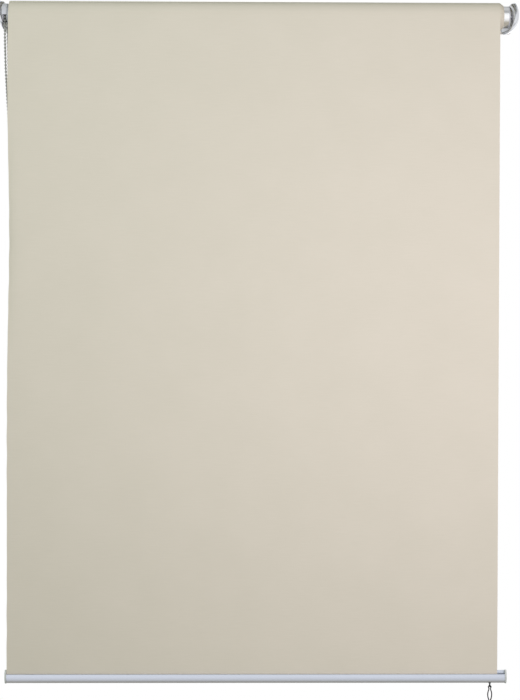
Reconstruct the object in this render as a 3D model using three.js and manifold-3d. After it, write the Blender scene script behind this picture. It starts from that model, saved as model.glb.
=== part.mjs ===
// Chain-operated roller blind, lowered, hanging from two wall brackets.
// Millimetres. +Z is up, +Y points into the wall, +X is to the right as seen from the room.
// The origin lies on the wall, midway between the brackets, level with the roller's axis.
import * as THREE from "three";
import { mergeVertices } from "three/addons/utils/BufferGeometryUtils.js";
import Module from "manifold-3d";

const wasm = await Module();
wasm.setup();

// ---------------------------------------------------------------- driving dimensions

const RUNNING_GAP = 0.3; // between pieces that touch or turn against each other
const BOOLEAN_REACH = 1; // how far a cutter runs past the face that it cuts

// Cloth
const SHEET_WIDTH = 865;
const SHEET_THICKNESS = 0.6;
const SHEET_DROP = 1176; // from the roller's axis to the underside of the bottom rail
const WINDING_THICKNESS = 4.7; // cloth left on the tube when the blind is down
const WINDING_CREEP = 7; // how far the inner turns have crept to the right

// Roller tube
const TUBE_RADIUS = 19;
const TUBE_WALL = 1.2;
const TUBE_BARE_LEFT = -2.5; // tube past the cloth on each side
const TUBE_BARE_RIGHT = 17;
const KEYWAY_WIDTH = 2.6;
const KEYWAY_DEPTH = 2.8;
const SPLINE_RADIUS = 0.95;
const PLUG_FIT = 0.5; // radial fit of both plugs in the tube
const PLUG_FLANGE = 1.5;
const FLANGE_PAST_GUARD = 0.35; // how far the drive plug's flange covers the guard's rim

// Wall brackets
const WALL_TO_AXIS = 38;
const PLATE_WIDTH = 33;
const PLATE_HEIGHT = 38;
const PLATE_THICKNESS = 3;
const PLATE_TOP = 15; // above the roller's axis
const PLATE_CORNER = 4;
const ARM_THICKNESS = 3;
const ARM_HALF_HEIGHT = 12;
const ARM_INSET = 0.6; // from the arm's outer face to the plate's outer edge
const SCREW_SHANK_RADIUS = 2;
const SCREW_HEAD_RADIUS = 4;
const SCREW_EDGE = 8; // from the plate's inner and end edges to a screw

// Dished covers: a slice of a ball's shell, cut off by a slanting plane
const COVER_RADIUS = 34.3;
const COVER_WALL = 1.6;
const COVER_DEPTH = 15.9; // from the rim's plane to the ball's far point
const COVER_TURN = 15.2; // degrees that the mouth turns towards the room
const COVER_TILT = 13.6; // degrees that the mouth looks up
const COVER_RISE = 2.5; // the ball's centre above the roller's axis
const COVER_FLAT_CUT = 3; // how much of the ball's far side is flattened
const COVER_TO_GUARD = 1.543; // from the chain guard's outer corner to the left cover's inside
const COVER_POST_BORE = 6.6;
const COVER_POST_WALL = 1.8;

// Chain drive, at the left end
const CHAIN_DIAMETER = 4.5;
const CHAIN_PITCH_RADIUS = 15.3;
const CONNECTOR_WALL = 0.4;
const WHEEL_WIDTH = 7.6;
const WHEEL_RIM = 1.9; // how far the wheel's rims stand past the chain's centreline
const GUARD_WALL = 1.4;
const GUARD_END_WALL = 1.2;
const GUARD_CLEARANCE = 1.1; // from the chain's outside to the guard
const WINDOW_CLEARANCE = 1.2; // from the chain's outside to the edges of the guard's windows
const WINDOW_TOP = -2.5; // from the roller's axis
const SPINDLE_RADIUS = 8;
const SPINDLE_LENGTH = 63;
const SPINDLE_SQUARE = 9.6;
const SPINDLE_SCREW_RADIUS = 1.3;
const SPINDLE_SCREW_HEAD_RADIUS = 6;
const SPINDLE_SCREW_HEAD = 1.8;
const DRIVE_PLUG_LENGTH = 57;
const WRAP_SPRING_WIRE = 0.7; // radius
const WRAP_SPRING_TURNS = 7;
const WRAP_SPRING_SLACK = 0.7; // from the spindle to the coil
const CLIP_THICKNESS = 1;
const CLIP_EAR = 1.6; // how far the clip stands out of the spindle
const CLIP_SEAT = 1.6; // depth of the clip's groove in the spindle
const CLIP_FROM_END = 3; // from the clip's inner face to the spindle's end
const PLUG_SHOULDER = 5; // length of the narrow bore that runs on the spindle

// Sprung pin, at the right end
const IDLE_GAP = 5.2; // from the end plug's face to the arm's bush
const END_PLUG_LENGTH = 40;
const PIN_RADIUS = 2.4;
const PIN_COLLAR_RADIUS = 4.2;
const PIN_CHAMBER_RADIUS = 5;
const PIN_GUIDE = 6; // length of the plug's bore that the pin slides in
const PIN_COLLAR = 3;
const PIN_TAIL_RADIUS = 1.9;
const PIN_TAIL = 16;
const PIN_CHAMFER = 0.8;
const PIN_PAST_ARM = 2.2;
const SPRING_STOP = 3;
const SPRING_STOP_BORE = 2.4;
const PIN_SPRING_WIRE = 0.45; // radius
const PIN_SPRING_TURNS = 7;
const BUSH_WALL = 1.4;
const BUSH_FLANGE_RADIUS = 6;
const BUSH_FLANGE = 1.1;

// Bottom rail
const RAIL_HEIGHT = 22.6;
const RAIL_DEPTH = 11;
const RAIL_WALL = 1.3;
const RAIL_OVERHANG_LEFT = 0; // rail past the cloth on each side, without its caps
const RAIL_OVERHANG_RIGHT = 13;
const RAIL_FRONT_LIP = 6.6; // how far the front lip ends below the rear lip
const HEM_ROD_RADIUS = 2;
const HEM_ROD_BELOW_LIP = 4.5; // the rod's axis below the front lip
const SLOT_IN_FRONT = 0.7; // the slot's front wall before the cloth
const CAP_THICKNESS = 3;
const CAP_PROUD = 0.9;
const CAP_TONGUE = 12;

// Eye screw and pull link under the rail
const EYE_FROM_CLOTH_EDGE = 13;
const EYE_RADIUS = 2.9; // of the ring's centreline
const EYE_WIRE = 0.9; // radius
const EYE_DROP = 4.3; // from the rail's underside to the ring's centre
const EYE_SHANK = 6;
const EYE_COLLAR_RADIUS = 2.1;
const EYE_COLLAR = 0.8;
const LINK_WIRE = 0.9; // radius
const LINK_LENGTH = 28;
const LINK_HALF_WIDTH = 3.6;
const LINK_NECK = 1.3; // half width just below the eye
const LINK_NECK_BELOW_EYE = 2.6;
const LINK_BUTT = 0.4;

// ---------------------------------------------------------------- derived places

const tubeLength = SHEET_WIDTH + TUBE_BARE_LEFT + TUBE_BARE_RIGHT;
const driveStack = RUNNING_GAP + PLUG_FLANGE + RUNNING_GAP + WHEEL_WIDTH + RUNNING_GAP
  + GUARD_END_WALL + RUNNING_GAP;
const idleStack = RUNNING_GAP + PLUG_FLANGE + IDLE_GAP + BUSH_FLANGE + RUNNING_GAP;
const halfSpan = (tubeLength + driveStack + idleStack) / 2; // to each arm's inner face
const tubeLeft = -halfSpan + driveStack;
const tubeRight = halfSpan - idleStack;
const sheetLeft = tubeLeft + TUBE_BARE_LEFT;
const sheetRight = tubeRight - TUBE_BARE_RIGHT;
const tubeBore = TUBE_RADIUS - TUBE_WALL;
const windingInner = TUBE_RADIUS + RUNNING_GAP;
const windingOuter = windingInner + WINDING_THICKNESS;
const sheetBack = windingOuter + RUNNING_GAP; // in front of the roller's axis
const sheetMiddle = sheetBack + SHEET_THICKNESS / 2;
const hemRodDepth = RAIL_FRONT_LIP + HEM_ROD_BELOW_LIP; // the rod's axis below the rail's top
const drivePlugRight = tubeLeft - RUNNING_GAP + DRIVE_PLUG_LENGTH;
const wheelRight = tubeLeft - RUNNING_GAP - PLUG_FLANGE - RUNNING_GAP;
const wheelLeft = wheelRight - WHEEL_WIDTH;
const wheelMiddle = (wheelLeft + wheelRight) / 2;
const guardInner = CHAIN_PITCH_RADIUS + CHAIN_DIAMETER / 2 + GUARD_CLEARANCE;
const guardOuter = guardInner + GUARD_WALL;
const flangeRadius = Math.max(TUBE_RADIUS, guardInner + FLANGE_PAST_GUARD);

// ---------------------------------------------------------------- materials

function finish(color, roughness, metalness) {
  return new THREE.MeshStandardMaterial({ color, roughness, metalness });
}

// ---------------------------------------------------------------- solids

// A closed geometry as a solid, whichever way round its faces were listed.
function solidOf(geometry) {
  const bare = geometry.clone();
  bare.deleteAttribute("normal");
  bare.deleteAttribute("uv");
  const merged = mergeVertices(bare, 1e-4);
  const triVerts = new Uint32Array(merged.index.array);
  const vertProperties = merged.attributes.position.array;
  const made = new wasm.Manifold(new wasm.Mesh({ numProp: 3, vertProperties, triVerts }));
  if (made.volume() > 0) return made;
  for (let i = 0; i < triVerts.length; i += 3) {
    [triVerts[i + 1], triVerts[i + 2]] = [triVerts[i + 2], triVerts[i + 1]];
  }
  return new wasm.Manifold(new wasm.Mesh({ numProp: 3, vertProperties, triVerts }));
}

function geometryOf(solid) {
  const mesh = solid.getMesh();
  const geometry = new THREE.BufferGeometry();
  geometry.setAttribute("position", new THREE.BufferAttribute(mesh.vertProperties, 3));
  geometry.setIndex(new THREE.BufferAttribute(mesh.triVerts, 1));
  const faceted = geometry.toNonIndexed();
  faceted.computeVertexNormals();
  return faceted;
}

function block(low, high) {
  const size = high.map((value, axis) => value - low[axis]);
  const geometry = new THREE.BoxGeometry(...size);
  geometry.translate(...high.map((value, axis) => (value + low[axis]) / 2));
  return solidOf(geometry);
}

// A profile of [x, radius] points turned round the X axis.
function turned(profile, segments = 36) {
  const points = profile.map(([x, radius]) => new THREE.Vector2(radius, x));
  const geometry = new THREE.LatheGeometry(points, segments);
  geometry.rotateZ(-Math.PI / 2);
  return solidOf(geometry);
}

// A ring or disc round the X axis, from x0 to x1.
function ring(x0, x1, outer, inner = 0, segments = 36) {
  if (inner === 0) return turned([[x0, 0], [x0, outer], [x1, outer], [x1, 0]], segments);
  return turned([[x0, inner], [x0, outer], [x1, outer], [x1, inner], [x0, inner]], segments);
}

// An outline drawn in Y and Z, run along X from x0 to x1.
function alongX(shape, x0, x1, curveSegments = 12) {
  const geometry = new THREE.ExtrudeGeometry(shape, {
    depth: x1 - x0,
    bevelEnabled: false,
    curveSegments,
  });
  const toRow = new THREE.Matrix4().makeBasis(
    new THREE.Vector3(0, 1, 0),
    new THREE.Vector3(0, 0, 1),
    new THREE.Vector3(1, 0, 0),
  );
  geometry.applyMatrix4(toRow);
  geometry.translate(x0, 0, 0);
  return solidOf(geometry);
}

function circleShape(radius, y = 0, z = 0) {
  return new THREE.Shape().absarc(y, z, radius, 0, 2 * Math.PI, false);
}

function ovalShape(halfDepth, halfHeight, y, z) {
  return new THREE.Shape().absellipse(y, z, halfDepth, halfHeight, 0, 2 * Math.PI, false);
}

function roundedRectangle(left, bottom, width, height, corner) {
  const shape = new THREE.Shape();
  shape.absarc(left + corner, bottom + corner, corner, Math.PI, 1.5 * Math.PI);
  shape.absarc(left + width - corner, bottom + corner, corner, 1.5 * Math.PI, 2 * Math.PI);
  shape.absarc(left + width - corner, bottom + height - corner, corner, 0, 0.5 * Math.PI);
  shape.absarc(left + corner, bottom + height - corner, corner, 0.5 * Math.PI, Math.PI);
  return shape;
}

// Round wire or cord along a curve.
function wireAlong(curve, radius, steps, sides = 8) {
  const section = new THREE.Shape();
  for (let side = 0; side < sides; side += 1) {
    const angle = (2 * Math.PI * side) / sides;
    section[side ? "lineTo" : "moveTo"](radius * Math.cos(angle), radius * Math.sin(angle));
  }
  section.closePath();
  return solidOf(new THREE.ExtrudeGeometry(section, { steps, extrudePath: curve, curveSegments: 1 }));
}

// A coil of wire round the X axis, from x0 to x1 along the wire's centre.
class CoilCurve extends THREE.Curve {
  constructor(x0, x1, radius, turns) {
    super();
    Object.assign(this, { x0, x1, radius, turns });
  }

  getPoint(t, target = new THREE.Vector3()) {
    const angle = 2 * Math.PI * this.turns * t;
    const x = this.x0 + (this.x1 - this.x0) * t;
    return target.set(x, this.radius * Math.cos(angle), this.radius * Math.sin(angle));
  }
}

function coilSpring(x0, x1, radius, wire, turns) {
  const stepsPerTurn = 10;
  const sides = 6;
  const curve = new CoilCurve(x0 + wire, x1 - wire, radius, turns);
  return wireAlong(curve, wire, turns * stepsPerTurn, sides);
}

// ---------------------------------------------------------------- assembly

const blind = new THREE.Group();

// Pieces that are centred on the roller's axis are drawn with that axis as X.
const axle = new THREE.Group();
axle.position.set(0, -WALL_TO_AXIS, 0);
blind.add(axle);

// The rail's own zero is the middle of its underside, below the hanging cloth.
const rail = new THREE.Group();
rail.position.set(0, -WALL_TO_AXIS - sheetMiddle, -SHEET_DROP);
blind.add(rail);

function place(parent, name, solid, material) {
  const mesh = new THREE.Mesh(geometryOf(solid), material);
  mesh.name = name;
  parent.add(mesh);
}

// ---------------------------------------------------------------- wall brackets

const ZINC = finish(0xd4d6d8, 0.35, 0.9);
const SCREW_STEEL = finish(0xb9bcc0, 0.3, 1);

function wallScrewPlaces(side) {
  const x = side * (halfSpan + ARM_THICKNESS + ARM_INSET - PLATE_WIDTH + SCREW_EDGE);
  return { x, upper: PLATE_TOP - SCREW_EDGE, lower: PLATE_TOP - PLATE_HEIGHT + SCREW_EDGE };
}

// A countersunk screw or, with a clearance, the hole for it. Its flat head faces the room.
function wallScrew(x, z, clearance) {
  const head = SCREW_HEAD_RADIUS + clearance;
  const shank = SCREW_SHANK_RADIUS + clearance;
  const reach = clearance > 0 ? BOOLEAN_REACH : 0;
  return turned([
    [-PLATE_THICKNESS - reach, 0],
    [-PLATE_THICKNESS - reach, head + reach],
    [-PLATE_THICKNESS + head - shank, shank],
    [reach, shank],
    [reach, 0],
  ], 20).rotate([0, 0, 90]).translate([x, 0, z]);
}

// side is -1 for the left bracket and 1 for the right one.
function wallBracket(side, armHole) {
  const inner = side * halfSpan;
  const outer = side * (halfSpan + ARM_THICKNESS);
  const armLow = Math.min(inner, outer);
  const armHigh = Math.max(inner, outer);
  const plateEdge = side * (halfSpan + ARM_THICKNESS + ARM_INSET);
  const plateLeft = side > 0 ? plateEdge - PLATE_WIDTH : plateEdge;
  const outline = roundedRectangle(
    plateLeft,
    PLATE_TOP - PLATE_HEIGHT,
    PLATE_WIDTH,
    PLATE_HEIGHT,
    PLATE_CORNER,
  );
  const plateGeometry = new THREE.ExtrudeGeometry(outline, {
    depth: PLATE_THICKNESS,
    bevelEnabled: false,
    curveSegments: 5,
  });
  plateGeometry.rotateX(Math.PI / 2);
  const plate = solidOf(plateGeometry);
  const arm = block(
    [armLow, -WALL_TO_AXIS, -ARM_HALF_HEIGHT],
    [armHigh, -PLATE_THICKNESS / 2, ARM_HALF_HEIGHT],
  );
  const nose = alongX(circleShape(ARM_HALF_HEIGHT, -WALL_TO_AXIS, 0), armLow, armHigh);
  const screws = wallScrewPlaces(side);
  return plate
    .add(arm)
    .add(nose)
    .subtract(armHole)
    .subtract(wallScrew(screws.x, screws.upper, RUNNING_GAP))
    .subtract(wallScrew(screws.x, screws.lower, RUNNING_GAP));
}

const squareHole = SPINDLE_SQUARE / 2 + RUNNING_GAP;
const bushRadius = PIN_RADIUS + RUNNING_GAP + BUSH_WALL;
const spindleHole = block(
  [-halfSpan - ARM_THICKNESS - BOOLEAN_REACH, -WALL_TO_AXIS - squareHole, -squareHole],
  [-halfSpan + BOOLEAN_REACH, -WALL_TO_AXIS + squareHole, squareHole],
);
const bushHole = alongX(
  circleShape(bushRadius + RUNNING_GAP, -WALL_TO_AXIS, 0),
  halfSpan - BOOLEAN_REACH,
  halfSpan + ARM_THICKNESS + BOOLEAN_REACH,
);
place(blind, "left_bracket", wallBracket(-1, spindleHole), ZINC);
place(blind, "right_bracket", wallBracket(1, bushHole), ZINC);

for (const [sideName, side] of [["left", -1], ["right", 1]]) {
  const screws = wallScrewPlaces(side);
  place(blind, `${sideName}_screw_upper`, wallScrew(screws.x, screws.upper, 0), SCREW_STEEL);
  place(blind, `${sideName}_screw_lower`, wallScrew(screws.x, screws.lower, 0), SCREW_STEEL);
}

// ---------------------------------------------------------------- dished covers

const CHROME = finish(0xdfe1e4, 0.08, 1);

// A right-hand cover, its ball's centre at zero and its flat at x = flat.
function coverShell(flat) {
  const arcSteps = 8;
  const widest = THREE.MathUtils.degToRad(84);
  const innerRadius = COVER_RADIUS - COVER_WALL;
  const innerStart = Math.acos((flat - COVER_WALL) / innerRadius);
  const outerStart = Math.acos(flat / COVER_RADIUS);
  const profile = [[flat - COVER_WALL, 0]];
  for (let step = 0; step <= arcSteps; step += 1) {
    const angle = innerStart + ((widest - innerStart) * step) / arcSteps;
    profile.push([innerRadius * Math.cos(angle), innerRadius * Math.sin(angle)]);
  }
  for (let step = arcSteps; step >= 0; step -= 1) {
    const angle = outerStart + ((widest - outerStart) * step) / arcSteps;
    profile.push([COVER_RADIUS * Math.cos(angle), COVER_RADIUS * Math.sin(angle)]);
  }
  profile.push([flat, 0]);
  return turned(profile);
}

// side is -1 for the left cover, which is the right one's mirror image.
function cover(side) {
  const flat = COVER_RADIUS - COVER_FLAT_CUT;
  const guardReach = guardOuter + COVER_RISE;
  const guardInBall = Math.sqrt((COVER_RADIUS - COVER_WALL - COVER_TO_GUARD) ** 2 - guardReach ** 2);
  const ballX = halfSpan - RUNNING_GAP - guardInBall;
  const slice = 2 * COVER_RADIUS;
  const rimPlane = COVER_RADIUS - COVER_DEPTH;
  const keep = block([rimPlane, -slice, -slice], [rimPlane + slice, slice, slice]).rotate([
    0,
    COVER_TILT,
    COVER_TURN,
  ]);
  const postStart = ARM_THICKNESS + halfSpan + RUNNING_GAP;
  const postEnd = ballX + flat - COVER_WALL / 2;
  const post = ring(postStart, postEnd, COVER_POST_BORE + COVER_POST_WALL, COVER_POST_BORE, 32);
  const armSlot = block(
    [halfSpan - RUNNING_GAP, 0, -ARM_HALF_HEIGHT - RUNNING_GAP],
    [halfSpan + ARM_THICKNESS + RUNNING_GAP, WALL_TO_AXIS, ARM_HALF_HEIGHT + RUNNING_GAP],
  );
  const shell = coverShell(flat).intersect(keep).translate([ballX, 0, COVER_RISE]);
  const finished = shell.add(post).subtract(armSlot);
  return side > 0 ? finished : finished.mirror([1, 0, 0]);
}

const chainNotch = block(
  [wheelLeft - GUARD_END_WALL, -guardOuter - RUNNING_GAP, -COVER_RADIUS],
  [tubeLeft + COVER_RADIUS, CHAIN_PITCH_RADIUS + CHAIN_DIAMETER, -ARM_HALF_HEIGHT],
);
place(axle, "left_cover", cover(-1).subtract(chainNotch), CHROME);
place(axle, "right_cover", cover(1), CHROME);

// ---------------------------------------------------------------- chain drive

const NYLON = finish(0xd9dade, 0.45, 0);
const BRIGHT_STEEL = finish(0xc2c5c9, 0.25, 1);
const SPRING_STEEL = finish(0x8f9296, 0.35, 1);

const spindleRight = wheelLeft + SPINDLE_LENGTH;
const clipGroove = spindleRight - CLIP_FROM_END;
const clipRadius = SPINDLE_RADIUS - CLIP_SEAT;

function clutchSpindle() {
  const shoulder = wheelLeft - RUNNING_GAP - GUARD_END_WALL;
  const barrel = turned([
    [shoulder, 0],
    [shoulder, SPINDLE_RADIUS],
    [clipGroove - CLIP_THICKNESS - RUNNING_GAP, SPINDLE_RADIUS],
    [clipGroove - CLIP_THICKNESS - RUNNING_GAP, clipRadius],
    [clipGroove + RUNNING_GAP, clipRadius],
    [clipGroove + RUNNING_GAP, SPINDLE_RADIUS],
    [spindleRight, SPINDLE_RADIUS],
    [spindleRight, 0],
  ], 32);
  const half = SPINDLE_SQUARE / 2;
  const square = block([-halfSpan - ARM_THICKNESS, -half, -half], [shoulder + BOOLEAN_REACH, half, half]);
  const screwBore = ring(
    -halfSpan - ARM_THICKNESS - BOOLEAN_REACH,
    wheelRight,
    SPINDLE_SCREW_RADIUS + RUNNING_GAP,
    0,
    16,
  );
  return barrel.add(square).subtract(screwBore);
}

function spindleScrew() {
  const face = -halfSpan - ARM_THICKNESS - RUNNING_GAP;
  return turned([
    [face - SPINDLE_SCREW_HEAD, 0],
    [face - SPINDLE_SCREW_HEAD, SPINDLE_SCREW_HEAD_RADIUS],
    [face, SPINDLE_SCREW_HEAD_RADIUS],
    [face, SPINDLE_SCREW_RADIUS],
    [wheelRight - RUNNING_GAP, SPINDLE_SCREW_RADIUS],
    [wheelRight - RUNNING_GAP, 0],
  ], 16);
}

function retainingClip() {
  const mouth = THREE.MathUtils.degToRad(35);
  const shape = new THREE.Shape();
  shape.absarc(0, 0, SPINDLE_RADIUS + CLIP_EAR, mouth, 2 * Math.PI - mouth, false);
  shape.absarc(0, 0, clipRadius + RUNNING_GAP, 2 * Math.PI - mouth, mouth, true);
  return alongX(shape, clipGroove - CLIP_THICKNESS, clipGroove, 24);
}

// The wheel's groove holds the chain, and its rims keep it there.
function chainWheel() {
  const bore = SPINDLE_RADIUS + RUNNING_GAP;
  const rim = CHAIN_PITCH_RADIUS + WHEEL_RIM;
  const floor = CHAIN_PITCH_RADIUS - CHAIN_DIAMETER / 2 - RUNNING_GAP;
  const halfGroove = CHAIN_DIAMETER / 2 + RUNNING_GAP;
  return turned([
    [wheelLeft, bore],
    [wheelLeft, rim],
    [wheelMiddle - halfGroove, rim],
    [wheelMiddle - halfGroove, floor],
    [wheelMiddle + halfGroove, floor],
    [wheelMiddle + halfGroove, rim],
    [wheelRight, rim],
    [wheelRight, bore],
    [wheelLeft, bore],
  ]);
}

// A drum round the wheel, closed on the wall bracket's side, with a window for each run of chain.
function chainGuard() {
  const endFace = wheelLeft - RUNNING_GAP - GUARD_END_WALL;
  const drum = turned([
    [endFace, SPINDLE_RADIUS + RUNNING_GAP],
    [endFace, guardOuter],
    [wheelRight, guardOuter],
    [wheelRight, guardInner],
    [endFace + GUARD_END_WALL, guardInner],
    [endFace + GUARD_END_WALL, SPINDLE_RADIUS + RUNNING_GAP],
    [endFace, SPINDLE_RADIUS + RUNNING_GAP],
  ]);
  const windowInner = CHAIN_PITCH_RADIUS - CHAIN_DIAMETER / 2 - WINDOW_CLEARANCE;
  const windowOuter = CHAIN_PITCH_RADIUS + CHAIN_DIAMETER / 2 + WINDOW_CLEARANCE;
  const front = block(
    [wheelLeft - RUNNING_GAP, -guardOuter - BOOLEAN_REACH, -guardOuter - BOOLEAN_REACH],
    [wheelRight + BOOLEAN_REACH, -windowInner, WINDOW_TOP],
  );
  const back = block(
    [wheelLeft - RUNNING_GAP, windowInner, -guardOuter - BOOLEAN_REACH],
    [wheelRight + BOOLEAN_REACH, windowOuter, WINDOW_TOP],
  );
  return drum.subtract(front).subtract(back);
}

const wrapRadius = SPINDLE_RADIUS + WRAP_SPRING_SLACK + WRAP_SPRING_WIRE;
const plugRadius = tubeBore - PLUG_FIT;
const ridgeDepth = KEYWAY_DEPTH + TUBE_WALL; // the tube's inner ridge, from its outside
const shoulderRight = clipGroove - CLIP_THICKNESS - RUNNING_GAP;
const shoulderLeft = shoulderRight - PLUG_SHOULDER;

// The ridge inside the tube turns each plug by a groove along its side.
function keyGroove(x0, x1) {
  const halfWidth = KEYWAY_WIDTH / 2 + TUBE_WALL + PLUG_FIT;
  const floor = TUBE_RADIUS - ridgeDepth - PLUG_FIT;
  return block([x0, floor, -halfWidth], [x1, TUBE_RADIUS, halfWidth]);
}

function drivePlug() {
  const flangeLeft = tubeLeft - RUNNING_GAP - PLUG_FLANGE;
  const flangeRight = tubeLeft - RUNNING_GAP;
  const wideBore = wrapRadius + WRAP_SPRING_WIRE + RUNNING_GAP;
  const narrowBore = SPINDLE_RADIUS + RUNNING_GAP;
  const plug = turned([
    [flangeLeft, wideBore],
    [flangeLeft, flangeRadius],
    [flangeRight, flangeRadius],
    [flangeRight, plugRadius],
    [drivePlugRight, plugRadius],
    [drivePlugRight, wideBore],
    [shoulderRight, wideBore],
    [shoulderRight, narrowBore],
    [shoulderLeft, narrowBore],
    [shoulderLeft, wideBore],
    [flangeLeft, wideBore],
  ]);
  return plug.subtract(keyGroove(flangeRight, drivePlugRight + BOOLEAN_REACH));
}

place(axle, "clutch_spindle", clutchSpindle(), BRIGHT_STEEL);
place(axle, "spindle_screw", spindleScrew(), BRIGHT_STEEL);
place(axle, "spindle_clip", retainingClip(), SPRING_STEEL);
place(axle, "chain_guard", chainGuard(), NYLON);
place(axle, "chain_wheel", chainWheel(), NYLON);
place(axle, "drive_plug", drivePlug(), NYLON);
place(
  axle,
  "clutch_spring",
  coilSpring(tubeLeft, shoulderLeft - RUNNING_GAP, wrapRadius, WRAP_SPRING_WIRE, WRAP_SPRING_TURNS),
  SPRING_STEEL,
);

// ---------------------------------------------------------------- roller and cloth

const ALUMINIUM = finish(0xc9ccd2, 0.25, 1);
const CLOTH = finish(0xd9d2c2, 0.85, 0);

// The tube's keyway opens outwards, and a ridge stands inside behind it.
function rollerTube() {
  const halfKey = KEYWAY_WIDTH / 2;
  const ridge = block(
    [tubeLeft, TUBE_RADIUS - ridgeDepth, -halfKey - TUBE_WALL],
    [tubeRight, tubeBore + TUBE_WALL / 2, halfKey + TUBE_WALL],
  );
  const keyway = block(
    [tubeLeft - BOOLEAN_REACH, TUBE_RADIUS - KEYWAY_DEPTH, -halfKey],
    [tubeRight + BOOLEAN_REACH, TUBE_RADIUS + BOOLEAN_REACH, halfKey],
  );
  return ring(tubeLeft, tubeRight, TUBE_RADIUS, tubeBore).add(ridge).subtract(keyway);
}

function fabricSpline() {
  const axisOut = TUBE_RADIUS - KEYWAY_DEPTH + SPLINE_RADIUS + RUNNING_GAP;
  return alongX(circleShape(SPLINE_RADIUS, axisOut, 0), sheetLeft + WINDING_CREEP, sheetRight, 6);
}

// The turns of cloth, each crept a little to the right of the one outside it.
function fabricRoll() {
  return turned([
    [sheetLeft + WINDING_CREEP, windingInner],
    [sheetLeft, windingOuter],
    [sheetRight, windingOuter],
    [sheetRight + WINDING_CREEP, windingInner],
    [sheetLeft + WINDING_CREEP, windingInner],
  ]);
}

// The cloth falls from the front of the roll and ends on the hem rod, inside the rail.
function fabricSheet() {
  const hemBottom = -SHEET_DROP + RAIL_HEIGHT - hemRodDepth + HEM_ROD_RADIUS + RUNNING_GAP;
  return block(
    [sheetLeft, -sheetBack - SHEET_THICKNESS, hemBottom],
    [sheetRight, -sheetBack, 0],
  );
}

place(axle, "roller_tube", rollerTube(), ALUMINIUM);
place(axle, "fabric_spline", fabricSpline(), NYLON);
place(axle, "fabric_roll", fabricRoll(), CLOTH);
place(axle, "fabric_sheet", fabricSheet(), CLOTH);

// ---------------------------------------------------------------- sprung pin

const plugFace = tubeRight + RUNNING_GAP + PLUG_FLANGE;
const plugInnerEnd = tubeRight + RUNNING_GAP - END_PLUG_LENGTH;
const chamberEnd = plugFace - PIN_GUIDE;
const pinStop = chamberEnd - RUNNING_GAP;
const pinReach = halfSpan + ARM_THICKNESS + PIN_PAST_ARM;
const stopRight = plugInnerEnd + SPRING_STOP;

function endPlug() {
  const flangeLeft = tubeRight + RUNNING_GAP;
  const guide = PIN_RADIUS + RUNNING_GAP;
  const plug = turned([
    [plugInnerEnd, PIN_CHAMBER_RADIUS],
    [plugInnerEnd, plugRadius],
    [flangeLeft, plugRadius],
    [flangeLeft, TUBE_RADIUS],
    [plugFace, TUBE_RADIUS],
    [plugFace, guide],
    [chamberEnd, guide],
    [chamberEnd, PIN_CHAMBER_RADIUS],
    [plugInnerEnd, PIN_CHAMBER_RADIUS],
  ]);
  return plug.subtract(keyGroove(plugInnerEnd - BOOLEAN_REACH, flangeLeft));
}

function endPin() {
  const collarLeft = pinStop - PIN_COLLAR;
  return turned([
    [collarLeft - PIN_TAIL, 0],
    [collarLeft - PIN_TAIL, PIN_TAIL_RADIUS],
    [collarLeft, PIN_TAIL_RADIUS],
    [collarLeft, PIN_COLLAR_RADIUS],
    [pinStop, PIN_COLLAR_RADIUS],
    [pinStop, PIN_RADIUS],
    [pinReach - PIN_CHAMFER, PIN_RADIUS],
    [pinReach, PIN_RADIUS - PIN_CHAMFER],
    [pinReach, 0],
  ], 24);
}

place(axle, "end_plug", endPlug(), NYLON);
place(axle, "end_pin", endPin(), BRIGHT_STEEL);
place(
  axle,
  "spring_stop",
  ring(plugInnerEnd, stopRight, PIN_CHAMBER_RADIUS - RUNNING_GAP, SPRING_STOP_BORE, 24),
  NYLON,
);
place(
  axle,
  "pin_spring",
  coilSpring(
    stopRight + RUNNING_GAP,
    pinStop - PIN_COLLAR - RUNNING_GAP,
    PIN_COLLAR_RADIUS - PIN_SPRING_WIRE,
    PIN_SPRING_WIRE,
    PIN_SPRING_TURNS,
  ),
  SPRING_STEEL,
);
place(
  axle,
  "pin_bush",
  turned([
    [halfSpan - RUNNING_GAP - BUSH_FLANGE, PIN_RADIUS + RUNNING_GAP],
    [halfSpan - RUNNING_GAP - BUSH_FLANGE, BUSH_FLANGE_RADIUS],
    [halfSpan - RUNNING_GAP, BUSH_FLANGE_RADIUS],
    [halfSpan - RUNNING_GAP, bushRadius],
    [halfSpan + ARM_THICKNESS, bushRadius],
    [halfSpan + ARM_THICKNESS, PIN_RADIUS + RUNNING_GAP],
    [halfSpan - RUNNING_GAP - BUSH_FLANGE, PIN_RADIUS + RUNNING_GAP],
  ], 24),
  NYLON,
);

// ---------------------------------------------------------------- bottom rail

const ANODISED = finish(0xc6c9d8, 0.3, 1);
const CAP_PLASTIC = finish(0xbfc1c4, 0.4, 0);

const railLeft = sheetLeft - RAIL_OVERHANG_LEFT;
const railRight = sheetRight + RAIL_OVERHANG_RIGHT;
const railMiddle = RAIL_HEIGHT / 2;
const hemRodHeight = RAIL_HEIGHT - hemRodDepth;
const webHeight = hemRodHeight - HEM_ROD_RADIUS - RUNNING_GAP - RAIL_WALL;
const eyeX = sheetRight - EYE_FROM_CLOTH_EDGE;

// The lower hollow of the rail, drawn in by a clearance for what fits in it.
function railHollow(x0, x1, clearance) {
  const hollow = alongX(
    ovalShape(
      RAIL_DEPTH / 2 - RAIL_WALL - clearance,
      railMiddle - RAIL_WALL - clearance,
      0,
      railMiddle,
    ),
    x0,
    x1,
    16,
  );
  const below = block(
    [x0 - BOOLEAN_REACH, -RAIL_DEPTH, 0],
    [x1 + BOOLEAN_REACH, RAIL_DEPTH, webHeight - clearance],
  );
  return hollow.intersect(below);
}

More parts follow.
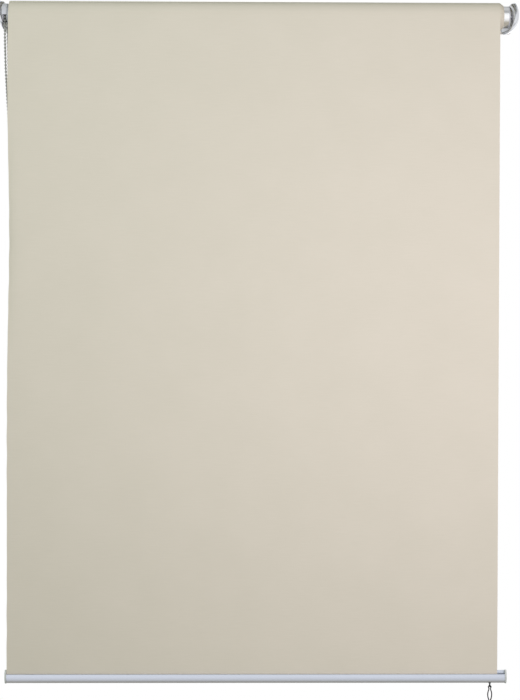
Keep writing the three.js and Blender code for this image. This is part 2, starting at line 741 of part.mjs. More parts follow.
function bottomRail() {
  const past = BOOLEAN_REACH;
  const slotFront = SHEET_THICKNESS / 2 + SLOT_IN_FRONT;
  const slotBack = SHEET_THICKNESS / 2 + RUNNING_GAP;
  const frontLip = RAIL_HEIGHT - RAIL_FRONT_LIP;
  const body = alongX(ovalShape(RAIL_DEPTH / 2, railMiddle, 0, railMiddle), railLeft, railRight, 20);
  const step = block(
    [railLeft - past, -RAIL_DEPTH, frontLip],
    [railRight + past, slotBack, RAIL_HEIGHT + past],
  );
  const slot = block(
    [railLeft - past, -slotFront, hemRodHeight],
    [railRight + past, slotBack, RAIL_HEIGHT + past],
  );
  const rodChannel = alongX(
    circleShape(HEM_ROD_RADIUS + RUNNING_GAP, 0, hemRodHeight),
    railLeft - past,
    railRight + past,
    8,
  );
  const screwHole = turned([
    [-past, 0],
    [-past, EYE_WIRE + RUNNING_GAP],
    [RAIL_WALL + past, EYE_WIRE + RUNNING_GAP],
    [RAIL_WALL + past, 0],
  ], 16).rotate([0, -90, 0]).translate([eyeX, 0, 0]);
  return body
    .subtract(step)
    .subtract(slot)
    .subtract(rodChannel)
    .subtract(railHollow(railLeft - past, railRight + past, 0))
    .subtract(screwHole);
}

// side is -1 for the left cap and 1 for the right one.
function railCap(side) {
  const seat = side > 0 ? railRight + RUNNING_GAP : railLeft - RUNNING_GAP;
  const face = seat + side * (CAP_THICKNESS - RUNNING_GAP);
  const plate = alongX(
    ovalShape(RAIL_DEPTH / 2 + CAP_PROUD, railMiddle + CAP_PROUD, 0, railMiddle),
    Math.min(seat, face),
    Math.max(seat, face),
    20,
  );
  const tongueEnd = seat - side * CAP_TONGUE;
  const tongueStart = seat + side * (CAP_THICKNESS / 2);
  const tongue = railHollow(
    Math.min(tongueStart, tongueEnd),
    Math.max(tongueStart, tongueEnd),
    RUNNING_GAP,
  );
  return plate.add(tongue);
}

place(rail, "bottom_rail", bottomRail(), ANODISED);
place(
  rail,
  "hem_rod",
  alongX(circleShape(HEM_ROD_RADIUS, 0, hemRodHeight), sheetLeft, sheetRight, 8),
  NYLON,
);
place(rail, "rail_cap_left", railCap(-1), CAP_PLASTIC);
place(rail, "rail_cap_right", railCap(1), CAP_PLASTIC);

// ---------------------------------------------------------------- eye screw and pull link

const DARK_WIRE = finish(0x55585c, 0.35, 1);

function eyeScrew() {
  const ringGeometry = new THREE.TorusGeometry(EYE_RADIUS, EYE_WIRE, 6, 20);
  ringGeometry.rotateY(Math.PI / 2);
  ringGeometry.translate(eyeX, 0, -EYE_DROP);
  const shank = turned([
    [-EYE_DROP + EYE_RADIUS - EYE_WIRE / 2, 0],
    [-EYE_DROP + EYE_RADIUS - EYE_WIRE / 2, EYE_WIRE],
    [-RUNNING_GAP - EYE_COLLAR, EYE_WIRE],
    [-RUNNING_GAP - EYE_COLLAR, EYE_COLLAR_RADIUS],
    [-RUNNING_GAP, EYE_COLLAR_RADIUS],
    [-RUNNING_GAP, EYE_WIRE],
    [EYE_SHANK, EYE_WIRE],
    [EYE_SHANK, 0],
  ], 16).rotate([0, -90, 0]).translate([eyeX, 0, 0]);
  return solidOf(ringGeometry).add(shank);
}

// A wire link, bent to a long drop shape below a head that hangs on the eye. Its ends butt at
// the neck, on the left.
function pullLink() {
  const top = -EYE_DROP - EYE_RADIUS + EYE_WIRE + RUNNING_GAP + LINK_WIRE;
  const head = EYE_WIRE + RUNNING_GAP + LINK_WIRE;
  const eyeBottom = top + EYE_DROP + EYE_RADIUS + EYE_WIRE;
  const neck = -eyeBottom - LINK_NECK_BELOW_EYE;
  const rightSide = [
    [0.6 * head, -0.3],
    [head, -0.5 * eyeBottom],
    [head, -eyeBottom],
    [LINK_NECK, neck],
    [0.72 * LINK_HALF_WIDTH, 0.34 * -LINK_LENGTH],
    [LINK_HALF_WIDTH, 0.54 * -LINK_LENGTH],
    [0.74 * LINK_HALF_WIDTH, 0.8 * -LINK_LENGTH],
  ];
  const leftSide = rightSide.map(([x, z]) => [-x, z]).reverse();
  const neckPlace = leftSide.findIndex(([x, z]) => z === neck);
  const outline = [
    ...leftSide.slice(neckPlace),
    [0, 0],
    ...rightSide,
    [0, -LINK_LENGTH],
    ...leftSide.slice(0, neckPlace),
    [-LINK_NECK, neck - LINK_BUTT],
  ];
  const points = outline.map(([x, z]) => new THREE.Vector3(eyeX + x, 0, top + z));
  return wireAlong(new THREE.CatmullRomCurve3(points, false, "centripetal"), LINK_WIRE, 44, 6);
}

place(rail, "eye_screw", eyeScrew(), BRIGHT_STEEL);
place(rail, "pull_link", pullLink(), DARK_WIRE);

// ---------------------------------------------------------------- bead chain

// The chain is drawn from the wheel's centre. Both runs hang down, and are tucked behind the cloth.
const chain = new THREE.Group();
chain.position.set(wheelMiddle, 0, 0);
axle.add(chain);

const CHAIN_STEEL = finish(0xb4b7bb, 0.3, 1);
const FRONT_RUN = [
  [0, -15.3, -0.3], [0, -15.3, -20], [0.1, -15.3, -45], [1.4, -14.8, -97], [3.1, -14.2, -133],
  [5, -13.6, -167], [9, -12.6, -230], [12.5, -11.8, -310], [15.5, -11.2, -420], [16.5, -10.8, -560],
  [16.8, -10.4, -700], [16.8, -10, -820], [16.8, -9.3, -862], [16.8, -6.6, -884], [16.8, 0, -893],
  [16.8, 6.6, -884], [16.8, 9.3, -862], [16.8, 10, -820], [16.8, 10.4, -700], [16.6, 10.7, -600],
];
const BACK_RUN = [
  [16.4, 10.9, -588], [15.5, 11.2, -420], [12.5, 11.8, -310], [9, 12.6, -230], [5, 13.6, -167],
  [3.1, 14.2, -133], [1.4, 14.8, -97], [0.1, 15.3, -45], [0, 15.3, -20], [0, 15.3, -0.3],
];

function chainRun(points, steps) {
  const curve = new THREE.CatmullRomCurve3(
    points.map((point) => new THREE.Vector3(...point)),
    false,
    "centripetal",
  );
  return wireAlong(curve, CHAIN_DIAMETER / 2, steps);
}

// The half turn of chain that lies over the top of the wheel.
class OverWheel extends THREE.Curve {
  getPoint(t, target = new THREE.Vector3()) {
    const angle = Math.PI * (1 - t);
    const y = CHAIN_PITCH_RADIUS * Math.cos(angle);
    return target.set(0, y, CHAIN_PITCH_RADIUS * Math.sin(angle));
  }
}

function chainConnector() {
  const [lowX, lowY, lowZ] = FRONT_RUN[FRONT_RUN.length - 1];
  const [highX, highY, highZ] = BACK_RUN[0];
  return turned([
    [lowZ + RUNNING_GAP, 0],
    [lowZ + RUNNING_GAP, CHAIN_DIAMETER / 2 + CONNECTOR_WALL],
    [highZ - RUNNING_GAP, CHAIN_DIAMETER / 2 + CONNECTOR_WALL],
    [highZ - RUNNING_GAP, 0],
  ], 16).rotate([0, -90, 0]).translate([(lowX + highX) / 2, (lowY + highY) / 2, 0]);
}

place(chain, "bead_chain_front", chainRun(FRONT_RUN, 44), CHAIN_STEEL);
place(chain, "bead_chain_back", chainRun(BACK_RUN, 24), CHAIN_STEEL);
place(chain, "chain_over_wheel", wireAlong(new OverWheel(), CHAIN_DIAMETER / 2, 12), CHAIN_STEEL);
place(chain, "chain_connector", chainConnector(), NYLON);

export default blind;
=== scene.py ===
"""The looks of a chain-operated roller blind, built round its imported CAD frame.

Metres. +Z is up, +Y points into the wall, +X is to the right as seen from the room.
"""

from math import acos, atan2, cos, exp, pi, radians, sin, sqrt

import bmesh
import bpy
from bpy.props import FloatProperty, FloatVectorProperty, IntProperty, PointerProperty
from mathutils import Euler, Matrix, Vector


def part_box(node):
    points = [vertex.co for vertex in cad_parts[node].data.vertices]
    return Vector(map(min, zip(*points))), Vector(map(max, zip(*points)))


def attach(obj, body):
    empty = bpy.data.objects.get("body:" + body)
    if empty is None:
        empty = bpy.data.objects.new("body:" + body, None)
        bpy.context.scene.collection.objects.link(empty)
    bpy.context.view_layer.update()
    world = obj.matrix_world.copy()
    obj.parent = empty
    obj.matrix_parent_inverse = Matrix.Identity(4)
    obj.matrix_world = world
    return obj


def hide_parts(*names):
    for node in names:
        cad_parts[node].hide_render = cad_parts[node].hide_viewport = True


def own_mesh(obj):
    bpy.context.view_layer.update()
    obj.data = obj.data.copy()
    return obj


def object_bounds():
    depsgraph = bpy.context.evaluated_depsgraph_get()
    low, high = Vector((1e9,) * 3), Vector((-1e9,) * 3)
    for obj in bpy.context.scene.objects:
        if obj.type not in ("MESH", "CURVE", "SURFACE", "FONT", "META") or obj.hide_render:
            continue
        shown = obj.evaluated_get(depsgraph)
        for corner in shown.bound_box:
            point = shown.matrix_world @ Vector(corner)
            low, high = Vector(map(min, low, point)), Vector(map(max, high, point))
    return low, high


bl_info = {
    "name": "Roller blind", "version": (1, 0, 0), "blender": (4, 5, 0),
    "location": "View3D > Sidebar > Roller blind",
    "description": "Builds the cloth, metal and plastic of a roller blind round its CAD frame",
    "category": "Object",
}

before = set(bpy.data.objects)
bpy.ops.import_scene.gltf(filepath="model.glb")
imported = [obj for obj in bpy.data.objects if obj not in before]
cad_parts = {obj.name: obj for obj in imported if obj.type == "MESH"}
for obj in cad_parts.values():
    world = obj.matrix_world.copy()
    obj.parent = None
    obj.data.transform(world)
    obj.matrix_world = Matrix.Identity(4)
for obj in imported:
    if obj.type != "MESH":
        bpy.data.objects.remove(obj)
CAD_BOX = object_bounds()

MM = 0.001
WAVE_PERIOD = 2 * pi / 20  # a Wave texture's band spacing at scale 1
GAP = 0.3 * MM  # between pieces that touch or turn against each other


# ---- places in the frame


def low(node):
    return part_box(node)[0]


def high(node):
    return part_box(node)[1]


def middle(node):
    return (low(node) + high(node)) / 2


AXIS = middle("chain_wheel")  # a point on the roller's axis, at the chain
RAIL = middle("bottom_rail")
CLOTH_FRONT = middle("fabric_sheet")


# ---- settings


def linear(colour):
    """An sRGB hex colour as the linear RGBA that Blender's sockets take."""
    parts = [int(colour[k : k + 2], 16) / 255 for k in (1, 3, 5)]
    return tuple(p / 12.92 if p <= 0.04045 else ((p + 0.055) / 1.055) ** 2.4 for p in parts) + (1.0,)


def length(name, description, default):
    return FloatProperty(
        name=name, description=description, default=default, subtype="DISTANCE", unit="LENGTH", precision=5
    )


def angle(name, description, degrees):
    return FloatProperty(
        name=name, description=description, default=radians(degrees), subtype="ANGLE", unit="ROTATION"
    )


def colour(name, description, default):
    return FloatVectorProperty(
        name=name, description=description, default=linear(default), size=4, min=0, max=1, subtype="COLOR"
    )


def power(name, description, watts):
    return FloatProperty(name=name, description=description, default=watts, subtype="POWER", unit="POWER")


class StageSettings(bpy.types.PropertyGroup):
    camera_place: FloatVectorProperty(
        name="Camera place",
        description="Where the camera stands, from the middle of the wall line at the roller's height",
        default=(-0.0257, -2.644, -0.5433), subtype="TRANSLATION", unit="LENGTH",
    )
    lens: FloatProperty(
        name="Lens", description="Focal length on a 36 mm sensor", default=75.6, subtype="DISTANCE_CAMERA"
    )
    pan: angle("Pan", "How far the camera turns to its right", 0.662)
    dip: angle("Dip", "How far the camera looks down", 1.012)
    roll: angle("Roll", "How far the camera leans to its left", 0.124)
    key_power: power("Key light", "The soft light to the right of the cloth", 12.2)
    fill_power: power("Fill light", "The soft light at the upper left", 13)
    back_power: power("Back light", "The soft light behind the object", 16)
    surround: FloatProperty(
        name="Surround", description="Even light from the white tent round the object", default=0.3, min=0
    )
    mirrored: FloatProperty(
        name="Mirrored tent", description="Brightness of the tent where metal mirrors it", default=1.35, min=0
    )
    floor_colour: colour("Floor colour", "The pale painted floor", "#F6F3F6")
    floor_below: length("Floor below", "How far the floor lies below the blind", 0.45)


class ClothSettings(bpy.types.PropertyGroup):
    thickness: length("Thickness", "Thickness of the coated cloth", 0.6 * MM)
    base: colour("Cloth colour", "The coated face of the cloth", "#E6DFD0")
    thread: length("Thread spacing", "From one thread to the next, both ways", 0.45 * MM)
    curl: length("Edge curl", "How far the left edge draws in where it curls most", 4.0 * MM)
    curl_height: length("Curl height", "The curl's middle above the cloth's lower end", 0.775)
    curl_spread: length("Curl spread", "Half the height over which the left edge curls", 0.18)
    top_inset: length("Top inset", "How far the left edge draws in where it meets the roll", 3.8 * MM)
    roll_shift: length("Roll shift", "The wound cloth's right edge past the hanging cloth's", 1.5 * MM)
    scallop: length("Scallop", "How far the left edge waves in and out", 0.35 * MM)
    scallop_pitch: length("Scallop pitch", "From one wave of the left edge to the next", 62 * MM)
    sway: length("Sway", "How far the cloth bows towards the room and back", 1.6 * MM)
    crease: length("Crease", "Depth of the soft crease above the rail", 0.24 * MM)
    crease_height: length("Crease height", "The crease above the cloth's lower end", 66 * MM)
    wound_turns: FloatProperty(name="Turns", description="Turns left on the tube", default=7.75, min=1)


class CoverSettings(bpy.types.PropertyGroup):
    ball: length("Ball radius", "Radius of the ball that the dish is a slice of", 34.3 * MM)
    wall: length("Wall", "Thickness of the pressed steel", 1.6 * MM)
    flat_cut: length("Flat", "How much of the ball's far side is flattened", 3 * MM)
    depth: length("Depth", "From the rim's plane to the ball's far point", 15.9 * MM)
    rise: length("Rise", "The ball's centre above the roller's axis", 2.5 * MM)
    turn: angle("Turn", "How far the mouth turns towards the room", 15.2)
    tilt: angle("Tilt", "How far the mouth looks up", 13.6)
    post_bore: length("Post bore", "Inner radius of the post that stands on the arm", 6.6 * MM)
    post_wall: length("Post wall", "Wall of the post", 1.8 * MM)
    notch_back: length("Notch back", "From the axis to the chain notch's back edge", 17.6 * MM)
    chrome: colour("Chrome", "Bright chrome plate", "#E6E7EB")


class BracketSettings(bpy.types.PropertyGroup):
    sheet: length("Sheet", "Thickness of the steel sheet", 3 * MM)
    corner: length("Corner", "Corner radius of the wall plate", 4 * MM)
    arm_inset: length("Arm inset", "From the plate's outer edge to the arm's outer face", 0.6 * MM)
    arm_half: length("Arm half height", "Half the height of the arm", 12 * MM)
    square: length("Square hole", "Half the width of the hole for the spindle's square", 4.8 * MM)
    edge: length("Edge", "Rounding of the cut edges", 0.45 * MM)
    coating: colour("Coating", "Powder coat of the brackets", "#F4F3F1")


class DriveSettings(bpy.types.PropertyGroup):
    guard_wall: length("Guard wall", "Wall of the chain guard's drum", 1.4 * MM)
    guard_end: length("Guard end", "Thickness of the guard's closed end", 1.2 * MM)
    window_gap: length("Window gap", "From the chain to the edges of the guard's windows", 1.2 * MM)
    window_top: length("Window top", "Top of the windows below the roller's axis", 2.5 * MM)
    spindle: length("Spindle", "Radius of the fixed spindle", 8 * MM)
    teeth: IntProperty(name="Pockets", description="Bead pockets round the wheel", default=16, min=6)
    nylon: colour("Nylon", "Moulded nylon", "#DDDDE4")


class ChainSettings(bpy.types.PropertyGroup):
    bead: length("Bead", "Diameter of a bead", 4.5 * MM)
    pitch: length("Pitch", "From one bead to the next", 6 * MM)
    pin: length("Link pin", "Diameter of the pins between the beads", 2.0 * MM)
    nickel: colour("Nickel", "Nickel-plated beads", "#A9ABA8")


class RollerSettings(bpy.types.PropertyGroup):
    wall: length("Tube wall", "Wall of the aluminium tube", 1.2 * MM)
    keyway: length("Keyway", "Depth of the keyway along the tube", 2.8 * MM)
    flange: length("Flange", "Thickness of the plugs' flanges", 1.5 * MM)
    pin_radius: length("Pin", "Radius of the sprung pin", 2.4 * MM)
    aluminium: colour("Aluminium", "Mill-finish aluminium", "#F1F1F2")


class RailSettings(bpy.types.PropertyGroup):
    height: length("Height", "Height of the oval section", 22.6 * MM)
    front_lip: length("Front lip", "How far the front lip ends below the oval's top", 6.6 * MM)
    rod_below: length("Rod depth", "The hem rod's axis below the front lip", 4.5 * MM)
    slot_front: length("Slot front", "From the cloth's middle to the slot's front wall", 1.0 * MM)
    slot_back: length("Slot back", "From the cloth's middle to the slot's back wall", 0.6 * MM)
    rod: length("Rod channel", "Radius of the channel round the hem rod", 2.3 * MM)
    wall: length("Wall", "Wall of the extruded rail", 1.3 * MM)
    cap_round: length("Cap rounding", "Rounding of the end caps", 1.1 * MM)
    anodised: colour("Anodised", "Satin anodised aluminium", "#C6CBD6")
    cap: colour("Cap", "Moulded end caps", "#D6DAD7")


class LinkSettings(bpy.types.PropertyGroup):
    eye_radius: length("Eye", "Radius of the eye's ring", 2.9 * MM)
    eye_wire: length("Eye wire", "Radius of the eye's wire", 0.9 * MM)
    link_wire: length("Link wire", "Radius of the link's wire", 1.0 * MM)
    bright: colour("Bright steel", "Turned and polished steel", "#C9CBCF")
    dark: colour("Dark wire", "Blackened steel wire", "#1F2022")


class BlindSettings(bpy.types.PropertyGroup):
    stage: PointerProperty(type=StageSettings)
    cloth: PointerProperty(type=ClothSettings)
    cover: PointerProperty(type=CoverSettings)
    bracket: PointerProperty(type=BracketSettings)
    drive: PointerProperty(type=DriveSettings)
    chain: PointerProperty(type=ChainSettings)
    roller: PointerProperty(type=RollerSettings)
    rail: PointerProperty(type=RailSettings)
    link: PointerProperty(type=LinkSettings)


def chosen():
    return bpy.context.scene.roller_blind


# ---- materials


def add_node(tree, kind, values=None, links=None, **settings):
    """Adds a node, sets it up, and joins its inputs to outputs, or to the first outputs of nodes."""
    made = tree.nodes.new(f"ShaderNode{kind}")
    for name, value in settings.items():
        setattr(made, name, value)
    for socket, value in (values or {}).items():
        made.inputs[socket].default_value = value
    for socket, source in (links or {}).items():
        output = source.outputs[0] if isinstance(source, bpy.types.Node) else source
        tree.links.new(output, made.inputs[socket])
    return made


def noise(tree, size_mm, detail, place, **values):
    """Noise whose blotches are about as large as the size given."""
    values = {"Scale": 1 / (size_mm * MM), "Detail": detail, **values}
    return add_node(tree, "TexNoise", values=values, links={"Vector": place})


def start_material(name, values):
    """A new material's node tree and its shader, with the even values set on the shader."""
    material = bpy.data.materials.new(name)
    material.use_nodes = True
    shader = material.node_tree.nodes["Principled BSDF"]
    for socket, value in values.items():
        shader.inputs[socket].default_value = value
    return material, material.node_tree, shader


def surface_of(
    name, base, roughness, values, grain_mm, dent_mm, stretch=(1, 1, 1), patch_mm=30, tint=0.08, spread=0.06
):
    """A hard surface: a fine grain that dents it and varies its gloss, and broad patches of tone."""
    material, tree, shader = start_material(name, values)
    place = add_node(tree, "TexCoord")
    along = add_node(tree, "Mapping", values={"Scale": stretch}, links={"Vector": place.outputs["Object"]})
    grain = noise(tree, grain_mm, 3.0, along, Roughness=0.6)
    patches = noise(tree, patch_mm, 4.0, along)
    worn = [part * (1 - tint) for part in base[:3]] + [1.0]
    shade = add_node(tree, "Mix", values={6: worn, 7: base}, links={0: patches}, data_type="RGBA")
    gloss = add_node(
        tree, "MapRange",
        values={"From Min": 0.3, "From Max": 0.7, "To Min": roughness - spread, "To Max": roughness + spread},
        links={"Value": grain},
    )
    dents = add_node(
        tree, "Bump", values={"Strength": 0.6, "Distance": dent_mm * MM}, links={"Height": grain},
    )
    tree.links.new(shade.outputs[2], shader.inputs["Base Color"])
    tree.links.new(gloss.outputs[0], shader.inputs["Roughness"])
    tree.links.new(dents.outputs[0], shader.inputs["Normal"])
    return material


def blackout_cloth():
    # Polyester plain weave with a matt acrylic coat: threads 0.45 mm apart that show only close
    # to, a few thick slubs along the weft, and an even, slightly chalky face with no shine.
    cloth = chosen().cloth
    material, tree, shader = start_material(
        "coated polyester plain weave",
        {"Roughness": 0.88, "Sheen Weight": 0.12, "Sheen Roughness": 0.5, "Specular IOR Level": 0.25},
    )
    place = add_node(tree, "UVMap", uv_map="cloth")
    threads = [
        add_node(
            tree, "TexWave", values={"Scale": WAVE_PERIOD / cloth.thread, "Distortion": 0.5, "Detail": 1.0},
            links={"Vector": place}, bands_direction=direction,
        )
        for direction in "XY"
    ]
    weave = add_node(
        tree, "Math", links={0: threads[0].outputs["Fac"], 1: threads[1].outputs["Fac"]},
        operation="MULTIPLY",
    )
    # A slub is about 1 mm high and 25 mm long.
    drawn = add_node(tree, "Mapping", values={"Scale": (1 / 25, 1, 1)}, links={"Vector": place})
    slubs = noise(tree, 1.2, 2.0, drawn)
    # The coat is spread a little unevenly, in clouds about 90 mm across.
    clouds = noise(tree, 90, 3.0, place)
    tones = add_node(tree, "Math", links={0: slubs, 1: clouds}, operation="ADD")
    mixed = add_node(tree, "MapRange", values={"From Min": 0.7, "From Max": 1.3}, links={"Value": tones})
    base = tuple(cloth.base)
    shade = add_node(
        tree, "Mix",
        values={6: [part * factor for part, factor in zip(base, (0.965, 0.968, 0.96, 1))], 7: base},
        links={0: mixed}, data_type="RGBA",
    )
    height = add_node(tree, "Math", values={2: 0.35}, links={0: slubs, 1: weave}, operation="MULTIPLY_ADD")
    relief = add_node(tree, "Bump", values={"Strength": 0.5, "Distance": 0.08 * MM}, links={"Height": height})
    tree.links.new(shade.outputs[2], shader.inputs["Base Color"])
    tree.links.new(relief.outputs[0], shader.inputs["Normal"])
    return material


def metal(name, base, roughness, grain_mm, dent_mm, anisotropy=0.0, **look):
    values = {"Metallic": 1.0, "Anisotropic": anisotropy}
    return surface_of(name, base, roughness, values, grain_mm, dent_mm, **look)


def moulded_nylon():
    # Injection-moulded nylon: milky, waxy, with a fine spark-eroded skin.
    milky = {"Subsurface Weight": 0.08, "Subsurface Radius": (0.002, 0.002, 0.0024), "IOR": 1.53}
    return surface_of("moulded nylon", chosen().drive.nylon, 0.42, milky, 0.3, 0.015, tint=0.05)


def powder_coat():
    # Powder-coated pressed sheet: an even pale satin with a slight orange-peel skin.
    coat, skin = chosen().bracket.coating, {"IOR": 1.5}
    return surface_of("powder-coated sheet steel", coat, 0.36, skin, 1.6, 0.02, patch_mm=12, tint=0.05)


def cap_plastic():
    # Moulded ABS coloured to go with the rail: satin, with a fine eroded grain.
    return surface_of("moulded grey ABS", chosen().rail.cap, 0.38, {"IOR": 1.53}, 0.35, 0.02, tint=0.1)


def bright_chrome():
    # Bright chrome plate on pressed steel: a clear mirror, with faint polishing haze.
    return metal("bright chrome plate", chosen().cover.chrome, 0.07, 3.0, 0.004, patch_mm=14, spread=0.03)


def bright_steel():
    # Turned and polished steel: a clean shine broken by fine tool marks round the axis.
    return metal("turned bright steel", chosen().link.bright, 0.24, 0.35, 0.01, stretch=(4, 1, 1))


def spring_steel():
    # Oil-tempered spring wire: grey, satin, drawn lengthwise.
    return metal("oil-tempered spring wire", linear("#8D9095"), 0.34, 0.25, 0.008, tint=0.15)


def dark_wire():
    # Blackened steel wire with rubbed places where it shines. On the eye screw the same near-black is a
    # painted dark reflection.
    dark = chosen().link.dark
    return metal("blackened steel wire", dark, 0.3, 0.6, 0.02, patch_mm=2.5, tint=0.4, spread=0.12)


def mill_aluminium():
    # Extruded aluminium tube, mill finish: long die lines and a soft stretched highlight.
    bare = chosen().roller.aluminium
    lines = {"stretch": (0.02, 1, 1), "patch_mm": 2.5, "tint": 0.14}
    return metal("mill-finish extruded aluminium", bare, 0.27, 0.35, 0.02, anisotropy=0.4, **lines)


def anodised_rail():
    # Etched and anodised extrusion: a cool satin silver with long, very fine die lines.
    silver = chosen().rail.anodised
    lines = {"stretch": (0.01, 1, 1), "patch_mm": 3.5, "tint": 0.07, "spread": 0.05}
    return metal("satin anodised aluminium", silver, 0.4, 0.3, 0.012, anisotropy=0.3, **lines)


def nickel_beads():
    # Pressed beads, nickel-plated by the barrel: a warm grey shine, each one a little dinged.
    nickel, plate = chosen().chain.nickel, {"Metallic": 0.8}
    return surface_of("barrel-plated nickel", nickel, 0.34, plate, 1.1, 0.03, patch_mm=6, tint=0.16)


MAKERS = {
    "blackout_cloth": blackout_cloth, "cover_chrome": bright_chrome, "bracket_zinc": powder_coat,
    "bright_steel": bright_steel, "spring_steel": spring_steel, "dark_wire": dark_wire,
    "nylon": moulded_nylon, "cap_plastic": cap_plastic, "tube_aluminium": mill_aluminium,
    "rail_aluminium": anodised_rail, "chain_steel": nickel_beads,
}
made_materials = {}


def material_for(slot):
    """The material of one of the record's slots, made the first time that it is needed."""
    if slot not in made_materials:
        made_materials[slot] = MAKERS[slot]()
    return made_materials[slot]


# ---- making meshes


def new_object(name, bm):
    mesh = bpy.data.meshes.new(name)
    bm.to_mesh(mesh)
    bm.free()
    made = bpy.data.objects.new(name, mesh)
    bpy.context.scene.collection.objects.link(made)
    return made


def add_piece(name, bm, body, slot, stands_for=(), edge=0.0, sharp=35, wall=0.0):
    """A finished piece on a body, with its material, its wall, its rounded edges and its shading."""
    made = new_object(name, bm)
    made.data.materials.clear()
    made.data.materials.append(material_for(slot))
    made.data.shade_smooth()
    made.data.set_sharp_from_angle(angle=radians(sharp))
    if wall:
        shell = made.modifiers.new("wall", "SOLIDIFY")
        shell.thickness = wall
        shell.offset = 0
    if edge:
        edges = made.modifiers.new("edges", "BEVEL")
        edges.width = edge
        edges.segments = 2
        edges.limit_method = "ANGLE"
        edges.angle_limit = radians(45)
        edges.harden_normals = True
    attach(made, body)
    if stands_for:
        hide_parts(*stands_for)
    return made


def cleaned(bm):
    bmesh.ops.remove_doubles(bm, verts=bm.verts, dist=1e-6)
    bmesh.ops.recalc_face_normals(bm, faces=bm.faces)
    return bm


def block(corner, opposite):
    """A box between two corners."""
    corner, opposite = Vector(corner), Vector(opposite)
    bm = bmesh.new()
    bmesh.ops.create_cube(bm, size=1)
    bmesh.ops.scale(bm, vec=opposite - corner, verts=bm.verts)
    bmesh.ops.translate(bm, vec=(corner + opposite) / 2, verts=bm.verts)
    return cleaned(bm)


def spun(profile, steps=96):
    """A solid of revolution round the X axis from a profile of (x, radius) points."""
    bm = bmesh.new()
    points = [bm.verts.new((x, 0, radius)) for x, radius in profile]
    lines = [bm.edges.new(pair) for pair in zip(points, points[1:])]
    if profile[0][1] > 0:
        lines.append(bm.edges.new((points[-1], points[0])))
    bmesh.ops.spin(
        bm, geom=points + lines, cent=(0, 0, 0), axis=(1, 0, 0), angle=2 * pi, steps=steps, use_merge=True
    )
    return cleaned(bm)


def spun_on_axis(profile, steps=96):
    """The same, with its axis laid on the roller's."""
    return moved(spun(profile, steps), Matrix.Translation((0, AXIS.y, AXIS.z)))


def turned(name, node, body, slot, profile, steps=96):
    """A turned or moulded piece on the roller's axis, that stands for a CAD node."""
    return add_piece(name, spun_on_axis(profile, steps), body, slot, [node])


def moved(bm, matrix):
    bmesh.ops.transform(bm, matrix=matrix, verts=bm.verts)
    if matrix.determinant() < 0:
        bmesh.ops.recalc_face_normals(bm, faces=bm.faces)
    return bm


def rounded(bm, edges, radius, segments):
    """Rounds the edges given."""
    bmesh.ops.bevel(
        bm, geom=edges, offset=radius, offset_type="OFFSET", segments=segments, profile=0.5,
        affect="EDGES", material=-1,
    )


def oval_bar(x0, x1, half_depth, half_height, centre, sides=72):
    """An oval bar along X."""
    bm = bmesh.new()
    turn = Matrix.Rotation(pi / 2, 4, "Y")
    bmesh.ops.create_circle(bm, cap_ends=True, segments=sides, radius=1, matrix=turn)
    bmesh.ops.scale(bm, vec=(1, half_depth, half_height), verts=bm.verts)
    bmesh.ops.translate(bm, vec=(x0, centre[0], centre[1]), verts=bm.verts)
    grown = bmesh.ops.extrude_face_region(bm, geom=list(bm.faces))["geom"]
    far = [item for item in grown if isinstance(item, bmesh.types.BMVert)]
    bmesh.ops.translate(bm, vec=(x1 - x0, 0, 0), verts=far)
    return cleaned(bm)


def carved(host, tools, operation="DIFFERENCE"):
    """A closed solid after closed tools are cut from it or joined to it."""
    stock = new_object("stock", host)
    cutters = [new_object("cutter", tool) for tool in tools]
    for cutter in cutters:
        step = stock.modifiers.new("cut", "BOOLEAN")
        step.operation = operation
        step.solver = "EXACT"
        step.object = cutter
    bpy.context.view_layer.update()
    result = bmesh.new()
    result.from_object(stock, bpy.context.evaluated_depsgraph_get())
    for spent in [stock, *cutters]:
        mesh = spent.data
        bpy.data.objects.remove(spent)
        bpy.data.meshes.remove(mesh)
    bmesh.ops.remove_doubles(result, verts=result.verts, dist=1e-6)
    bmesh.ops.dissolve_degenerate(result, edges=result.edges, dist=1e-6)
    return result


def wire(points, radius, sides=10):
    """Round wire along points, closed at both ends."""
    bm = bmesh.new()
    heading = (points[1] - points[0]).normalized()
    turn = heading.to_track_quat("Z", "Y").to_matrix().to_4x4()
    start = bmesh.ops.create_circle(
        bm, cap_ends=True, segments=sides, radius=radius, matrix=Matrix.Translation(points[0]) @ turn
    )
    ring = start["verts"]
    for k in range(1, len(points)):
        here = points[k]
        ahead = points[min(k + 1, len(points) - 1)]
        bend = (ahead - points[k - 1]).normalized()
        edges = [e for e in bm.edges if e.verts[0] in ring and e.verts[1] in ring]
        grown = bmesh.ops.extrude_edge_only(bm, edges=edges)["geom"]
        ring = [item for item in grown if isinstance(item, bmesh.types.BMVert)]
        bmesh.ops.translate(bm, vec=here - points[k - 1], verts=ring)
        swing = heading.rotation_difference(bend).to_matrix()
        bmesh.ops.rotate(bm, cent=here, matrix=swing, verts=ring)
        heading = bend
    bmesh.ops.contextual_create(bm, geom=[e for e in bm.edges if e.is_boundary])
    return cleaned(bm)


